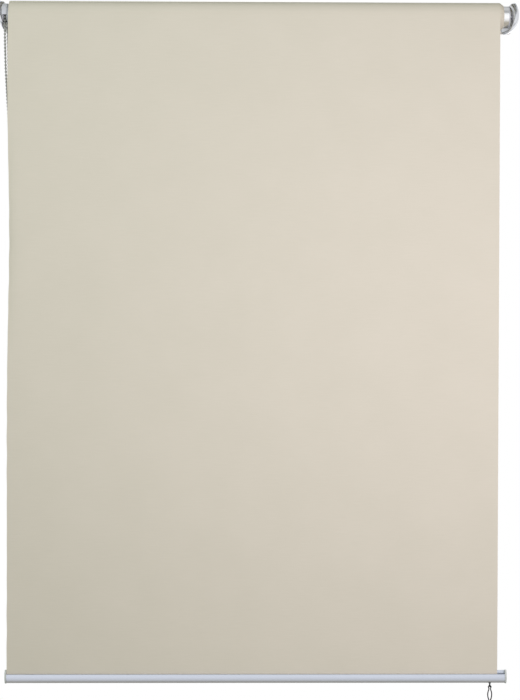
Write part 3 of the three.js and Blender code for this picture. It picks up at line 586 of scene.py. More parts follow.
def smooth_line(points, spacing):
    """Points a fixed way apart on a centripetal Catmull-Rom curve through the points given."""
    ends = [2 * points[0] - points[1], *points, 2 * points[-1] - points[-2]]
    fine = []
    for a, b, c, d in zip(ends, ends[1:], ends[2:], ends[3:]):
        t1 = sqrt((b - a).length)
        t2 = t1 + sqrt((c - b).length)
        t3 = t2 + sqrt((d - c).length)
        steps = max(4, round((c - b).length / (2 * MM)))
        for k in range(steps):
            t = t1 + (t2 - t1) * k / steps
            ab = a.lerp(b, t / t1)
            bc = b.lerp(c, (t - t1) / (t2 - t1))
            cd = c.lerp(d, (t - t2) / (t3 - t2))
            fine.append(ab.lerp(bc, t / t2).lerp(bc.lerp(cd, (t - t1) / (t3 - t1)), (t - t1) / (t2 - t1)))
    fine.append(points[-1])
    line, left = [fine[0]], spacing
    for a, b in zip(fine, fine[1:]):
        run = (b - a).length
        while run - left > -1e-9:
            a = a.lerp(b, left / run)
            run -= left
            line.append(a)
            left = spacing
        left -= run
    return line


def add_beads(bm, line, size, pin):
    """A bead at each point, and a pin from each to the next."""
    for here in line:
        bmesh.ops.create_uvsphere(
            bm, u_segments=10, v_segments=6, radius=size / 2, matrix=Matrix.Translation(here)
        )
    for here, ahead in zip(line, line[1:]):
        turn = (ahead - here).to_track_quat("Z", "Y").to_matrix().to_4x4()
        bmesh.ops.create_cone(
            bm, cap_ends=True, segments=6, radius1=pin / 2, radius2=pin / 2, depth=(ahead - here).length,
            matrix=Matrix.Translation((here + ahead) / 2) @ turn,
        )


# ---- stage


def point_at(thing, place, target):
    thing.location = place
    thing.rotation_euler = (Vector(target) - Vector(place)).to_track_quat("-Z", "Y").to_euler()


def soft_light(name, place, target, power, tone):
    """A square soft box that only matt surfaces see, since the tent gives the reflections."""
    lamp = bpy.data.lights.new(name, "AREA")
    lamp.size = 1.2
    lamp.energy = power
    lamp.color = tone
    thing = bpy.data.objects.new(name, lamp)
    thing.visible_camera = False
    thing.visible_glossy = False
    bpy.context.scene.collection.objects.link(thing)
    point_at(thing, place, target)


# The tent's tone by height, from straight down (0) to straight up (1), as mirrors see it.
TENT_TONES = [
    (0.0, "#A39D90"), (0.08, "#ADA89C"), (0.15, "#DAD8D4"), (0.28, "#E6E7EA"), (0.4, "#FFFFFF"),
    (0.6, "#F6F7F8"), (0.74, "#E6E8EA"), (0.81, "#A2A3A3"), (0.9, "#9C9D9D"), (1.0, "#C4C5C6"),
]
# How much of that is left, as a share of one and a half, towards the tent's left and right ends.
TENT_FLAGS = [
    (0.0, 0.667), (0.44, 0.667), (0.52, 0.42), (0.6, 0.56), (0.76, 0.52), (0.83, 0.34), (0.9, 0.5),
    (1.0, 0.44),
]


def fill_ramp(node, stops):
    """Give a colour ramp its stops, first to last."""
    elements = node.color_ramp.elements
    for place, tone in stops[1:-1]:
        elements.new(place).color = tone
    elements[0].color, elements[-1].color = stops[0][1], stops[-1][1]


class BLIND_OT_stage(bpy.types.Operator):
    """Places the camera, the lights, the white surround and the pale floor"""

    bl_idname = "blind.make_stage"
    bl_label = "Stage"

    def make_tent(self, scene, stage):
        """White to the camera, even to matt surfaces, and a tent with a dark roof to mirrors."""
        world = bpy.data.worlds.new("white tent")
        world.use_nodes = True
        scene.world = world
        tree = world.node_tree
        tree.nodes.clear()
        way = add_node(tree, "TexCoord")
        parts = add_node(tree, "SeparateXYZ", links={0: way.outputs["Generated"]})
        height = add_node(
            tree, "MapRange", values={"From Min": -1, "From Max": 1}, links={"Value": parts.outputs["Z"]}
        )
        walls = add_node(tree, "ValToRGB", links={0: height})
        fill_ramp(walls, [(place, linear(tone)) for place, tone in TENT_TONES])
        sideways = add_node(tree, "Math", links={0: parts.outputs["X"]}, operation="ABSOLUTE")
        ends = add_node(tree, "ValToRGB", links={0: sideways})
        fill_ramp(ends, [(place, (share, share, share, 1)) for place, share in TENT_FLAGS])
        flags = add_node(
            tree, "Math", values={1: 1.5 * stage.mirrored}, links={0: ends}, operation="MULTIPLY",
        )
        mirrored = add_node(tree, "Background", links={"Color": walls, "Strength": flags})
        even = add_node(
            tree, "Background", values={"Color": (0.95, 1.0, 0.86, 1), "Strength": stage.surround}
        )
        white = add_node(tree, "Background", values={"Color": (1, 1, 1, 1), "Strength": 1.0})
        seen = add_node(tree, "LightPath")
        lit = add_node(tree, "MixShader", links={0: seen.outputs["Is Glossy Ray"], 1: even, 2: mirrored})
        whole = add_node(tree, "MixShader", links={0: seen.outputs["Is Camera Ray"], 1: lit, 2: white})
        add_node(tree, "OutputWorld", links={0: whole})

    def execute(self, context):
        stage = chosen().stage
        scene = context.scene
        scene.view_settings.view_transform = "Standard"
        lens = bpy.data.cameras.new("camera")
        lens.lens = stage.lens
        lens.sensor_width = 36
        lens.clip_end = 50
        camera = bpy.data.objects.new("camera", lens)
        scene.collection.objects.link(camera)
        level = Euler((pi / 2 - stage.dip, 0, -stage.pan)).to_matrix()
        lean = Matrix.Rotation(stage.roll, 3, "Z")
        camera.matrix_world = Matrix.Translation(stage.camera_place) @ (level @ lean).to_4x4()
        scene.camera = camera

        cloth = middle("fabric_sheet")
        key_tone, fill_tone = (0.94, 0.85, 0.94), (0.84, 0.94, 0.95)
        soft_light("key light", (0.6, -1.3, -0.5), cloth, stage.key_power, key_tone)
        soft_light("fill light", (-1.0, -1.7, 0.4), cloth, stage.fill_power, fill_tone)
        soft_light("back light", (0.4, 1.6, 0.3), cloth, stage.back_power, (1.0, 1.0, 1.0))
        self.make_tent(scene, stage)

        ground = bmesh.new()
        bmesh.ops.create_circle(ground, cap_ends=True, segments=96, radius=1.6)
        below = CAD_BOX[0].z - stage.floor_below
        bmesh.ops.translate(ground, vec=(0, 0, below), verts=ground.verts)
        floor = new_object("floor", ground)
        # Matt floor paint: nearly white and even, so that only a faint shadow tells it from the tent.
        paint = surface_of(
            "matt floor paint", stage.floor_colour, 0.7, {}, 2.0, 0.05, patch_mm=400, tint=0.02
        )
        floor.data.materials.append(paint)
        floor.visible_diffuse = False
        floor.visible_glossy = False
        return {"FINISHED"}


# ---- bead chain

# The route of the chain's two hanging runs, from the wheel's centre. The front run goes down,
# turns at the bottom and comes up to the joiner; the back run goes on from it to the wheel.
FRONT_RUN = [
    (0, -0.0153, -0.0003), (0, -0.0153, -0.02), (0.0001, -0.0153, -0.045), (0.0014, -0.0148, -0.097),
    (0.0031, -0.0142, -0.133), (0.005, -0.0136, -0.167), (0.009, -0.0126, -0.23), (0.0125, -0.0118, -0.31),
    (0.0155, -0.0112, -0.42), (0.0165, -0.0108, -0.56), (0.0168, -0.0104, -0.7), (0.0168, -0.01, -0.82),
    (0.0168, -0.0093, -0.862), (0.0168, -0.0066, -0.884), (0.0168, 0, -0.893), (0.0168, 0.0066, -0.884),
    (0.0168, 0.0093, -0.862), (0.0168, 0.01, -0.82), (0.0168, 0.0104, -0.7), (0.0166, 0.0107, -0.6),
]
BACK_RUN = [
    (0.0164, 0.0109, -0.588), (0.0155, 0.0112, -0.42), (0.0125, 0.0118, -0.31), (0.009, 0.0126, -0.23),
    (0.005, 0.0136, -0.167), (0.0031, 0.0142, -0.133), (0.0014, 0.0148, -0.097), (0.0001, 0.0153, -0.045),
    (0, 0.0153, -0.02), (0, 0.0153, -0.0003),
]


class BLIND_OT_chain(bpy.types.Operator):
    """Strings the bead chain over the wheel and joins its ends"""

    bl_idname = "blind.make_chain"
    bl_label = "Bead chain"

    def execute(self, context):
        chain = chosen().chain
        route = [AXIS + Vector(point) for point in FRONT_RUN + BACK_RUN]
        joiner_low, joiner_high = low("chain_connector"), high("chain_connector")
        barrel_low, barrel_high = joiner_low.z, joiner_high.z
        radius = (joiner_high.x - joiner_low.x) / 2
        waist, neck = 0.78 * radius, 0.62 * radius
        lip = 0.9 * MM
        profile = [
            (barrel_low, 0), (barrel_low, neck), (barrel_low + lip, radius), (barrel_low + 3.5 * lip, radius),
            (barrel_low + 4.5 * lip, waist), (barrel_high - 4.5 * lip, waist),
            (barrel_high - 3.5 * lip, radius), (barrel_high - lip, radius), (barrel_high, neck),
            (barrel_high, 0),
        ]
        upright = Matrix.Rotation(-pi / 2, 4, "Y")
        centre = middle("chain_connector")
        joiner = add_piece(
            "chain_joiner", moved(spun(profile, 32), Matrix.Translation((centre.x, centre.y, 0)) @ upright),
            "brackets", "nylon", ["chain_connector"],
        )

        line = smooth_line(route, chain.pitch)
        bm = bmesh.new()
        add_beads(bm, line, chain.bead, chain.pin)
        beads = add_piece(
            "bead_chain", bm, "brackets", "chain_steel", ["bead_chain_front", "bead_chain_back"], sharp=60
        )
        [tuple(point) for point in smooth_line(route, chain.pitch / 2)]

        reach = high("chain_over_wheel").z - chain.bead / 2 - AXIS.z
        over = bmesh.new()
        count = round(pi * reach / chain.pitch)
        arc = []
        for k in range(count):
            turn = pi * (k + 0.5) / count
            arc.append(AXIS + Vector((0, -reach * cos(turn), reach * sin(turn))))
        add_beads(over, arc, chain.bead, chain.pin)
        add_piece("beads_over_wheel", over, "brackets", "chain_steel", ["chain_over_wheel"], sharp=60)
        return {"FINISHED"}


# ---- cloth


def bell(value, centre, spread):
    """1 at the centre, falling away smoothly to 0 on both sides."""
    return exp(-(((value - centre) / spread) ** 2))


class BLIND_OT_sheet(bpy.types.Operator):
    """Hangs the cloth from the front of the roll down into the rail"""

    bl_idname = "blind.make_sheet"
    bl_label = "Hanging cloth"

    def execute(self, context):
        cloth = chosen().cloth
        bottom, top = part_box("fabric_sheet")
        width, drop = top.x - bottom.x, top.z - bottom.z
        columns, rows = 150, 200
        bm = bmesh.new()
        uv = bm.loops.layers.uv.new("cloth")
        upright = Matrix.Rotation(pi / 2, 4, "X")
        bmesh.ops.create_grid(
            bm, x_segments=columns, y_segments=rows, size=0.5, matrix=upright, calc_uvs=True
        )
        for face in bm.faces:
            for loop in face.loops:
                loop[uv].uv = (loop[uv].uv.x * width, loop[uv].uv.y * drop)
        bmesh.ops.scale(bm, vec=(width, 1, drop), verts=bm.verts)
        bmesh.ops.translate(
            bm, vec=((bottom.x + top.x) / 2, CLOTH_FRONT.y, (bottom.z + top.z) / 2), verts=bm.verts
        )
        in_rail, rail_ease, roll_ease = 6 * MM, 30 * MM, 60 * MM
        settled, settling = 110 * MM, 160 * MM
        for vertex in bm.verts:
            from_left = vertex.co.x - bottom.x
            from_right = top.x - vertex.co.x
            up = vertex.co.z - bottom.z
            # Held in the rail below and by the roll above, free in between.
            free = min(1, max(0, (up - in_rail) / rail_ease)) * min(1, (top.z - vertex.co.z) / roll_ease)
            free = free * free * (3 - 2 * free)
            curl = cloth.curl * bell(up, cloth.curl_height, cloth.curl_spread)
            curl += 0.15 * cloth.curl * min(1, up / (170 * MM))
            inset = cloth.top_inset * exp(-(drop - up) / 0.1)
            wave = cloth.scallop * sin(2 * pi * up / cloth.scallop_pitch)
            wave *= 0.6 + 0.4 * sin(2 * pi * up / (5.3 * cloth.scallop_pitch))
            near_left = exp(-from_left / (16 * MM))
            near_right = exp(-from_right / (14 * MM))
            vertex.co.x += near_left * (free * max(0, curl + wave) + inset)
            bow = -cloth.sway * sin(pi * from_left / width) * sin(2 * pi * up / drop + 0.6)
            roll_in = 1.1 * abs(curl) * exp(-from_left / (12 * MM)) + 0.5 * MM * near_right
            dent = cloth.crease * bell(up, cloth.crease_height, 7 * MM) * (0.6 + 0.4 * sin(7 * from_left))
            dent += 0.6 * cloth.crease * bell(up, 12 * MM, 5 * MM)
            hem = 0.12 * MM * bell(from_right, 18 * MM, 1.2 * MM) * max(0, 1 - up / 0.4)
            # Flat where the raised blind brings it into the rail's slot or against the roll.
            calm = min(1, max(0, (up - settled) / settling))
            calm *= calm * (3 - 2 * calm)
            below = min(1, (top.z - vertex.co.z) / 0.2) ** 2
            vertex.co.y += calm * (free * bow + below * (roll_in + wave * near_left)) + free * dent + hem
        sheet = add_piece(
            "hanging_cloth", bm, "brackets", "blackout_cloth", ["fabric_sheet"], edge=0.12 * MM, sharp=80,
            wall=cloth.thickness,
        )
        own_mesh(sheet)
        return {"FINISHED"}


class BLIND_OT_roll(bpy.types.Operator):
    """Winds the rest of the cloth round the tube, each inner turn crept to the right"""

    bl_idname = "blind.make_roll"
    bl_label = "Wound cloth"

    def execute(self, context):
        cloth = chosen().cloth
        sheet_low, sheet_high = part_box("fabric_sheet")
        creep = high("fabric_roll").x - sheet_high.x
        tube = high("roller_tube").z - AXIS.z
        inner = tube + GAP + cloth.thickness / 2
        outer = AXIS.y - CLOTH_FRONT.y
        steps_per_turn = 64
        steps = round(cloth.wound_turns * steps_per_turn)
        columns = 4
        bm = bmesh.new()
        uv = bm.loops.layers.uv.new("cloth")
        left = sheet_low.x + cloth.top_inset
        width = sheet_high.x + cloth.roll_shift - left
        line = [
            bm.verts.new((left + width * k / columns, AXIS.y - outer, AXIS.z)) for k in range(columns + 1)
        ]
        edges = [bm.edges.new(pair) for pair in zip(line, line[1:])]
        far = {vertex: 0.0 for vertex in line}
        radius, run = outer, 0.0
        turn = 2 * pi / steps_per_turn
        spin = Matrix.Rotation(-turn, 3, "X")
        for k in range(1, steps + 1):
            grown = bmesh.ops.extrude_edge_only(bm, edges=edges)["geom"]
            line = [item for item in grown if isinstance(item, bmesh.types.BMVert)]
            edges = [
                item for item in grown
                if isinstance(item, bmesh.types.BMEdge) and item.verts[0] in line and item.verts[1] in line
            ]
            wound = outer + (inner - outer) * k / steps
            bmesh.ops.rotate(bm, cent=(0, AXIS.y, AXIS.z), matrix=spin, verts=line)
            size = Matrix.Diagonal((1, wound / radius, wound / radius, 1))
            shrink = Matrix.Translation((0, AXIS.y, AXIS.z)) @ size
            bmesh.ops.transform(bm, matrix=shrink @ Matrix.Translation((0, -AXIS.y, -AXIS.z)), verts=line)
            bmesh.ops.translate(bm, vec=(creep / steps, 0, 0), verts=line)
            run += turn * (wound + radius) / 2
            radius = wound
            far.update((vertex, run) for vertex in line)
        for face in bm.faces:
            for loop in face.loops:
                loop[uv].uv = (loop.vert.co.x - sheet_low.x, sheet_high.z - sheet_low.z + far[loop.vert])
        bmesh.ops.recalc_face_normals(bm, faces=bm.faces)
        roll = add_piece(
            "wound_cloth", bm, "roller", "blackout_cloth", ["fabric_roll"], edge=0.1 * MM, sharp=80,
            wall=0.9 * cloth.thickness,
        )
        return {"FINISHED"}


# ---- wall brackets and covers


SCREW_HEAD, SCREW_SHANK = 4 * MM, 2 * MM  # radii of the wall screws


def from_wall(place):
    """Lays a spun solid's axis along the room's depth, at a screw's place on the wall."""
    return Matrix.Translation((place.x, 0, place.z)) @ Matrix.Rotation(pi / 2, 4, "Z")


def cross_screw(place):
    """A countersunk screw with a cross recess, its head towards the room."""
    head, shank, thick, chamfer = SCREW_HEAD, SCREW_SHANK, 3 * MM, 0.15 * MM
    profile = [
        (-thick, 0), (-thick, head - chamfer), (-thick + chamfer, head), (-thick + head - shank, shank),
        (0, shank), (0, 0),
    ]
    half_long, half_wide, deep = 2.3 * MM, 0.45 * MM, 1.1 * MM
    cuts = [
        block(
            (place.x - across, -thick - MM, place.z - upright),
            (place.x + across, -thick + deep, place.z + upright),
        )
        for across, upright in ((half_long, half_wide), (half_wide, half_long))
    ]
    return carved(moved(spun(profile, 40), from_wall(place)), cuts)


class BLIND_OT_brackets(bpy.types.Operator):
    """Presses the two wall brackets and drives their screws"""

    bl_idname = "blind.make_brackets"
    bl_label = "Wall brackets"

    def execute(self, context):
        press = chosen().bracket
        for side_name, side in (("left", -1), ("right", 1)):
            box_low, box_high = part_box(f"{side_name}_bracket")
            plate = block((box_low.x, -press.sheet, box_low.z), (box_high.x, 0, box_high.z))
            corners = [e for e in plate.edges if abs(e.verts[0].co.y - e.verts[1].co.y) > press.sheet / 2]
            rounded(plate, corners, press.corner, 7)
            outer = box_high.x if side > 0 else box_low.x
            arm_x = sorted((outer - side * press.arm_inset, outer - side * (press.arm_inset + press.sheet)))
            arm = block(
                (arm_x[0], AXIS.y, AXIS.z - press.arm_half),
                (arm_x[1], -press.sheet / 2, AXIS.z + press.arm_half),
            )
            nose = oval_bar(arm_x[0], arm_x[1], press.arm_half, press.arm_half, (AXIS.y, AXIS.z))
            body = carved(plate, [arm, nose], "UNION")
            holes = []
            for end in ("upper", "lower"):
                name = f"{side_name}_screw_{end}"
                place = middle(name)
                wide, narrow = SCREW_HEAD + GAP, SCREW_SHANK + GAP
                seat = [
                    (-press.sheet - MM, 0), (-press.sheet - MM, wide + MM),
                    (-press.sheet + 2 * MM, narrow), (MM, narrow), (MM, 0),
                ]
                holes.append(moved(spun(seat, 40), from_wall(place)))
                screw = cross_screw(place)
                add_piece(f"{side_name}_{end}_wall_screw", screw, "brackets", "bright_steel", [name])
            if side > 0:
                bore = (high("pin_bush").z - AXIS.z) * 0.7
                holes.append(oval_bar(arm_x[0] - MM, arm_x[1] + MM, bore, bore, (AXIS.y, AXIS.z), 40))
            else:
                half = press.square + GAP
                square = block(
                    (arm_x[0] - MM, AXIS.y - half, AXIS.z - half),
                    (arm_x[1] + MM, AXIS.y + half, AXIS.z + half),
                )
                holes.append(square)
            add_piece(
                f"{side_name}_wall_bracket", carved(body, holes), "brackets", "bracket_zinc",
                [f"{side_name}_bracket"], edge=press.edge,
            )
        return {"FINISHED"}


def dish(outer_x):
    """The right-hand cover: a shell of a ball with a rolled rim, flattened at its far side."""
    cover = chosen().cover
    centre = Vector((outer_x - (cover.ball - cover.flat_cut), AXIS.y, AXIS.z + cover.rise))
    rim = acos((cover.ball - cover.depth) / cover.ball)
    steps = 30
    lip = cover.wall / 2
    profile = [
        (cover.ball * cos(rim * k / steps), cover.ball * sin(rim * k / steps)) for k in range(steps + 1)
    ]
    middle_radius = cover.ball - lip
    for k in range(1, 8):
        turn = pi * k / 8
        reach = middle_radius + lip * cos(turn)
        profile.append(
            (reach * cos(rim) - lip * sin(turn) * sin(rim), reach * sin(rim) + lip * sin(turn) * cos(rim)),
        )
    inside = cover.ball - cover.wall
    profile += [(inside * cos(rim * k / steps), inside * sin(rim * k / steps)) for k in range(steps, -1, -1)]
    shell = spun(profile, 128)
    aim = Matrix.Rotation(cover.turn, 4, "Z") @ Matrix.Rotation(cover.tilt, 4, "Y")
    moved(shell, Matrix.Translation(centre) @ aim)
    for vertex in shell.verts:
        outside = (vertex.co - centre).length > middle_radius
        vertex.co.x = min(vertex.co.x, outer_x - (0 if outside else cover.wall))
    return shell


class BLIND_OT_covers(bpy.types.Operator):
    """Presses the two dished chrome covers"""

    bl_idname = "blind.make_covers"
    bl_label = "Chrome covers"

    def execute(self, context):
        cover, press = chosen().cover, chosen().bracket
        outer_x = high("right_cover").x
        arm_high = high("right_bracket").x - press.arm_inset
        arm_low = arm_high - press.sheet
        for side_name, side in (("left", -1), ("right", 1)):
            mouth_post = spun_on_axis(
                [
                    (arm_high + GAP, cover.post_bore), (arm_high + GAP, cover.post_bore + cover.post_wall),
                    (outer_x - cover.wall / 2, cover.post_bore + cover.post_wall),
                    (outer_x - cover.wall / 2, cover.post_bore),
                ],
                64,
            )
            arm_slot = block(
                (arm_low - GAP, AXIS.y, AXIS.z - press.arm_half - GAP),
                (arm_high + GAP, 0, AXIS.z + press.arm_half + GAP),
            )
            shape = carved(carved(dish(outer_x), [mouth_post], "UNION"), [arm_slot])
            if side < 0:
                moved(shape, Matrix.Diagonal((-1, 1, 1, 1)))
                guard_low, guard_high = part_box("chain_guard")
                notch = block(
                    (guard_low.x, guard_low.y - GAP, AXIS.z - cover.ball * 1.2),
                    (guard_high.x + cover.ball, AXIS.y + cover.notch_back, AXIS.z - press.arm_half),
                )
                shape = carved(shape, [notch])
            add_piece(
                f"{side_name}_chrome_cover", shape, "brackets", "cover_chrome", [f"{side_name}_cover"],
                sharp=40,
            )
        return {"FINISHED"}


# ---- chain drive and roller

PLUG_PLAY = 0.5 * MM  # between the tube and the plugs pressed into it


class BLIND_OT_drive(bpy.types.Operator):
    """Moulds the chain guard, the wheel and the drive plug"""

    bl_idname = "blind.make_drive"
    bl_label = "Chain drive"

    def execute(self, context):
        drive, chain, roller = chosen().drive, chosen().chain, chosen().roller
        box_low, box_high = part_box("chain_guard")
        outer = box_high.z - AXIS.z
        inner = outer - drive.guard_wall
        bore = drive.spindle + GAP
        round_off = 0.5 * MM
        drum = spun_on_axis(
            [
                (box_low.x, bore), (box_low.x, outer - round_off), (box_low.x + round_off, outer),
                (box_high.x, outer), (box_high.x, inner), (box_low.x + drive.guard_end, inner),
                (box_low.x + drive.guard_end, bore),
            ],
        )
        pitch_radius = high("chain_over_wheel").z - chain.bead / 2 - AXIS.z
        near = pitch_radius - chain.bead / 2 - drive.window_gap
        away = pitch_radius + chain.bead / 2 + drive.window_gap
        inside = box_low.x + drive.guard_end
        windows = [
            block((inside, front, AXIS.z - outer - MM), (box_high.x + MM, back, AXIS.z - drive.window_top))
            for front, back in ((AXIS.y - outer - MM, AXIS.y - near), (AXIS.y + near, AXIS.y + away))
        ]
        add_piece(
            "chain_drum_guard", carved(drum, windows), "brackets", "nylon", ["chain_guard"], edge=0.25 * MM
        )

        wheel_low, wheel_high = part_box("chain_wheel")
        rim = wheel_high.z - AXIS.z
        floor = pitch_radius - chain.bead / 2 - GAP
        half_groove = chain.bead / 2 + GAP
        centre = (wheel_low.x + wheel_high.x) / 2
        wheel = spun_on_axis(
            [
                (wheel_low.x, bore), (wheel_low.x, rim), (centre - half_groove, rim),
                (centre - half_groove, floor), (centre + half_groove, floor), (centre + half_groove, rim),
                (wheel_high.x, rim), (wheel_high.x, bore),
            ],
            drive.teeth * 6,
        )
        # Shallow pockets in the groove's floor take the beads.
        pocket_mm = 0.7
        for vertex in wheel.verts:
            arm = Vector((0, vertex.co.y - AXIS.y, vertex.co.z - AXIS.z))
            if abs(arm.length - floor) < 0.1 * MM:
                turn = atan2(arm.z, arm.y) * drive.teeth
                vertex.co -= arm.normalized() * pocket_mm * MM * (0.5 + 0.5 * cos(turn))
        add_piece("sprocket_wheel", wheel, "roller", "nylon", ["chain_wheel"])

        plug_low, plug_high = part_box("drive_plug")
        tube = high("roller_tube").z - AXIS.z
        plug_radius = tube - roller.wall - PLUG_PLAY
        spring_bore = drive.spindle + 2.4 * MM  # room for the wrap spring round the spindle
        turned(
            "drive_plug_moulding", "drive_plug", "roller", "nylon",
            [
                (plug_low.x, spring_bore), (plug_low.x, tube - 0.3 * MM), (plug_low.x + 0.3 * MM, tube),
                (plug_low.x + roller.flange, tube), (plug_low.x + roller.flange, plug_radius),
                (plug_high.x - MM, plug_radius), (plug_high.x, plug_radius - MM), (plug_high.x, spring_bore),
            ],
        )
        return {"FINISHED"}


class BLIND_OT_roller(bpy.types.Operator):
    """Extrudes the roller tube and turns the plug, pin and bush at its right end"""

    bl_idname = "blind.make_roller"
    bl_label = "Roller tube"

    def execute(self, context):
        roller = chosen().roller
        tube_low, tube_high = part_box("roller_tube")
        radius = tube_high.z - AXIS.z
        tube = spun_on_axis(
            [
                (tube_low.x, radius - roller.wall), (tube_low.x, radius), (tube_high.x, radius),
                (tube_high.x, radius - roller.wall),
            ],
            120,
        )
        # The keyway is pressed in along the side that faces the wall.
        for vertex in tube.verts:
            arm = Vector((0, vertex.co.y - AXIS.y, vertex.co.z - AXIS.z))
            if arm.y > 0 and abs(arm.z) < 1.5 * MM:
                vertex.co.y -= roller.keyway
        add_piece("aluminium_tube", tube, "roller", "tube_aluminium", ["roller_tube"])

        plug_low, plug_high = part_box("end_plug")
        plug_radius = radius - roller.wall - PLUG_PLAY
        guide, guide_left = roller.pin_radius + GAP, plug_high.x - 6 * MM
        chamber, chamfer = 5 * MM, 0.4 * MM
        # A ring-shaped recess in the plug's face.
        ring_inside, ring_outside, ring_floor, draft = 6.5 * MM, 13.5 * MM, plug_high.x - 0.7 * MM, 0.5 * MM
        turned(
            "end_plug_moulding", "end_plug", "roller", "nylon",
            [
                (plug_low.x, chamber), (plug_low.x, plug_radius), (plug_high.x - roller.flange, plug_radius),
                (plug_high.x - roller.flange, radius), (plug_high.x - chamfer, radius),
                (plug_high.x, radius - chamfer), (plug_high.x, ring_outside),
                (ring_floor, ring_outside - draft), (ring_floor, ring_inside + draft),
                (plug_high.x, ring_inside), (plug_high.x, guide), (guide_left, guide), (guide_left, chamber),
            ],
        )

        pin_low, pin_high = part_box("end_pin")
        collar_right = guide_left - GAP
        collar, tail = 4.2 * MM, 1.9 * MM
        collar_left = collar_right - 3 * MM
        turned(
            "sprung_end_pin", "end_pin", "end_pin", "bright_steel",
            [
                (pin_low.x, 0), (pin_low.x, tail), (collar_left, tail), (collar_left, collar),
                (collar_right, collar), (collar_right, roller.pin_radius),
                (pin_high.x - 0.8 * MM, roller.pin_radius),
                (pin_high.x - 0.25 * MM, roller.pin_radius - 0.45 * MM),
                (pin_high.x, roller.pin_radius - 0.9 * MM), (pin_high.x, 0),
            ],
            48,
        )

        bush_low, bush_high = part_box("pin_bush")
        flange = bush_high.z - AXIS.z
        sleeve = guide + 1.4 * MM
        rim_right, chamfer = bush_low.x + 1.1 * MM, 0.3 * MM
        turned(
            "pin_bush_moulding", "pin_bush", "brackets", "nylon",
            [
                (bush_low.x, guide), (bush_low.x, flange - chamfer), (bush_low.x + chamfer, flange),
                (rim_right, flange), (rim_right, sleeve), (bush_high.x, sleeve), (bush_high.x, guide),
            ],
            64,
        )

        spring_low, spring_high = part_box("pin_spring")
        half_wire = 0.45 * MM
        coil_radius = spring_high.z - AXIS.z - half_wire
        turns, per_turn = 7, 20
        coil = []
        for k in range(turns * per_turn + 1):
            turn = 2 * pi * k / per_turn
            run = (spring_high.x - spring_low.x - 2 * half_wire) * k / (turns * per_turn)
            x = spring_low.x + half_wire + run
            coil.append(Vector((x, AXIS.y + coil_radius * cos(turn), AXIS.z + coil_radius * sin(turn))))
        coiled = wire(coil, half_wire, 8)
        spring = add_piece("pin_coil_spring", coiled, "roller", "spring_steel", ["pin_spring"])
        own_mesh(spring)
        return {"FINISHED"}


# ---- bottom rail and pull link


class BLIND_OT_rail(bpy.types.Operator):
    """Extrudes the weight rail and fits its end caps"""

    bl_idname = "blind.make_rail"
    bl_label = "Bottom rail"

    def execute(self, context):
        rail = chosen().rail
        box_low, box_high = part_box("bottom_rail")
        underside = box_low.z
        half_depth = (box_high.y - box_low.y) / 2
        half_height = rail.height / 2
        centre = (RAIL.y, underside + half_height)
        rod_height = underside + rail.height - rail.front_lip - rail.rod_below
        past = MM
        x0, x1 = box_low.x - past, box_high.x + past
        above = underside + 2 * half_height + past
        tools = [
            block(
                (x0, RAIL.y - 2 * half_depth, above - past - rail.front_lip),
                (x1, RAIL.y + rail.slot_back, above),
            ),
            block((x0, RAIL.y - rail.slot_front, rod_height), (x1, RAIL.y + rail.slot_back, above)),
            oval_bar(x0, x1, rail.rod, rail.rod, (RAIL.y, rod_height), 32),
        ]
        web = rod_height - rail.rod - rail.wall
        hollow = oval_bar(x0, x1, half_depth - rail.wall, half_height - rail.wall, centre, 48)
        hollow = carved(hollow, [block((x0 - past, centre[0] - 1, web), (x1 + past, centre[0] + 1, above))])
        body = oval_bar(box_low.x, box_high.x, half_depth, half_height, centre, 96)
        add_piece(
            "weight_rail", carved(body, [*tools, hollow]), "bottom_rail", "rail_aluminium", ["bottom_rail"],
            edge=0.3 * MM,
        )

        for side_name, side in (("left", -1), ("right", 1)):
            node = f"rail_cap_{side_name}"
            cap_low, cap_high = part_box(node)
            face = cap_high.x if side > 0 else cap_low.x
            seat = (box_high.x if side > 0 else box_low.x) + side * 0.05 * MM
            tongue_end = cap_low.x if side > 0 else cap_high.x
            cap_middle = ((cap_low.y + cap_high.y) / 2, (cap_low.z + cap_high.z) / 2)
            plate = oval_bar(
                min(seat, face), max(seat, face), (cap_high.y - cap_low.y) / 2, (cap_high.z - cap_low.z) / 2,
                cap_middle, 72,
            )
            rim = [e for e in plate.edges if all(abs(v.co.x - face) < 1e-6 for v in e.verts)]
            rounded(plate, rim, rail.cap_round, 5)
            root = (seat + face) / 2
            tongue = oval_bar(
                min(root, tongue_end), max(root, tongue_end), half_depth - rail.wall - GAP,
                half_height - rail.wall - GAP, centre, 48,
            )
            tongue = carved(tongue, [block((-1, centre[0] - 1, web - GAP), (1, centre[0] + 1, above))])
            cap = carved(plate, [tongue], "UNION")
            add_piece(f"{side_name}_rail_end_cap", cap, "bottom_rail", "cap_plastic", [node])
        return {"FINISHED"}


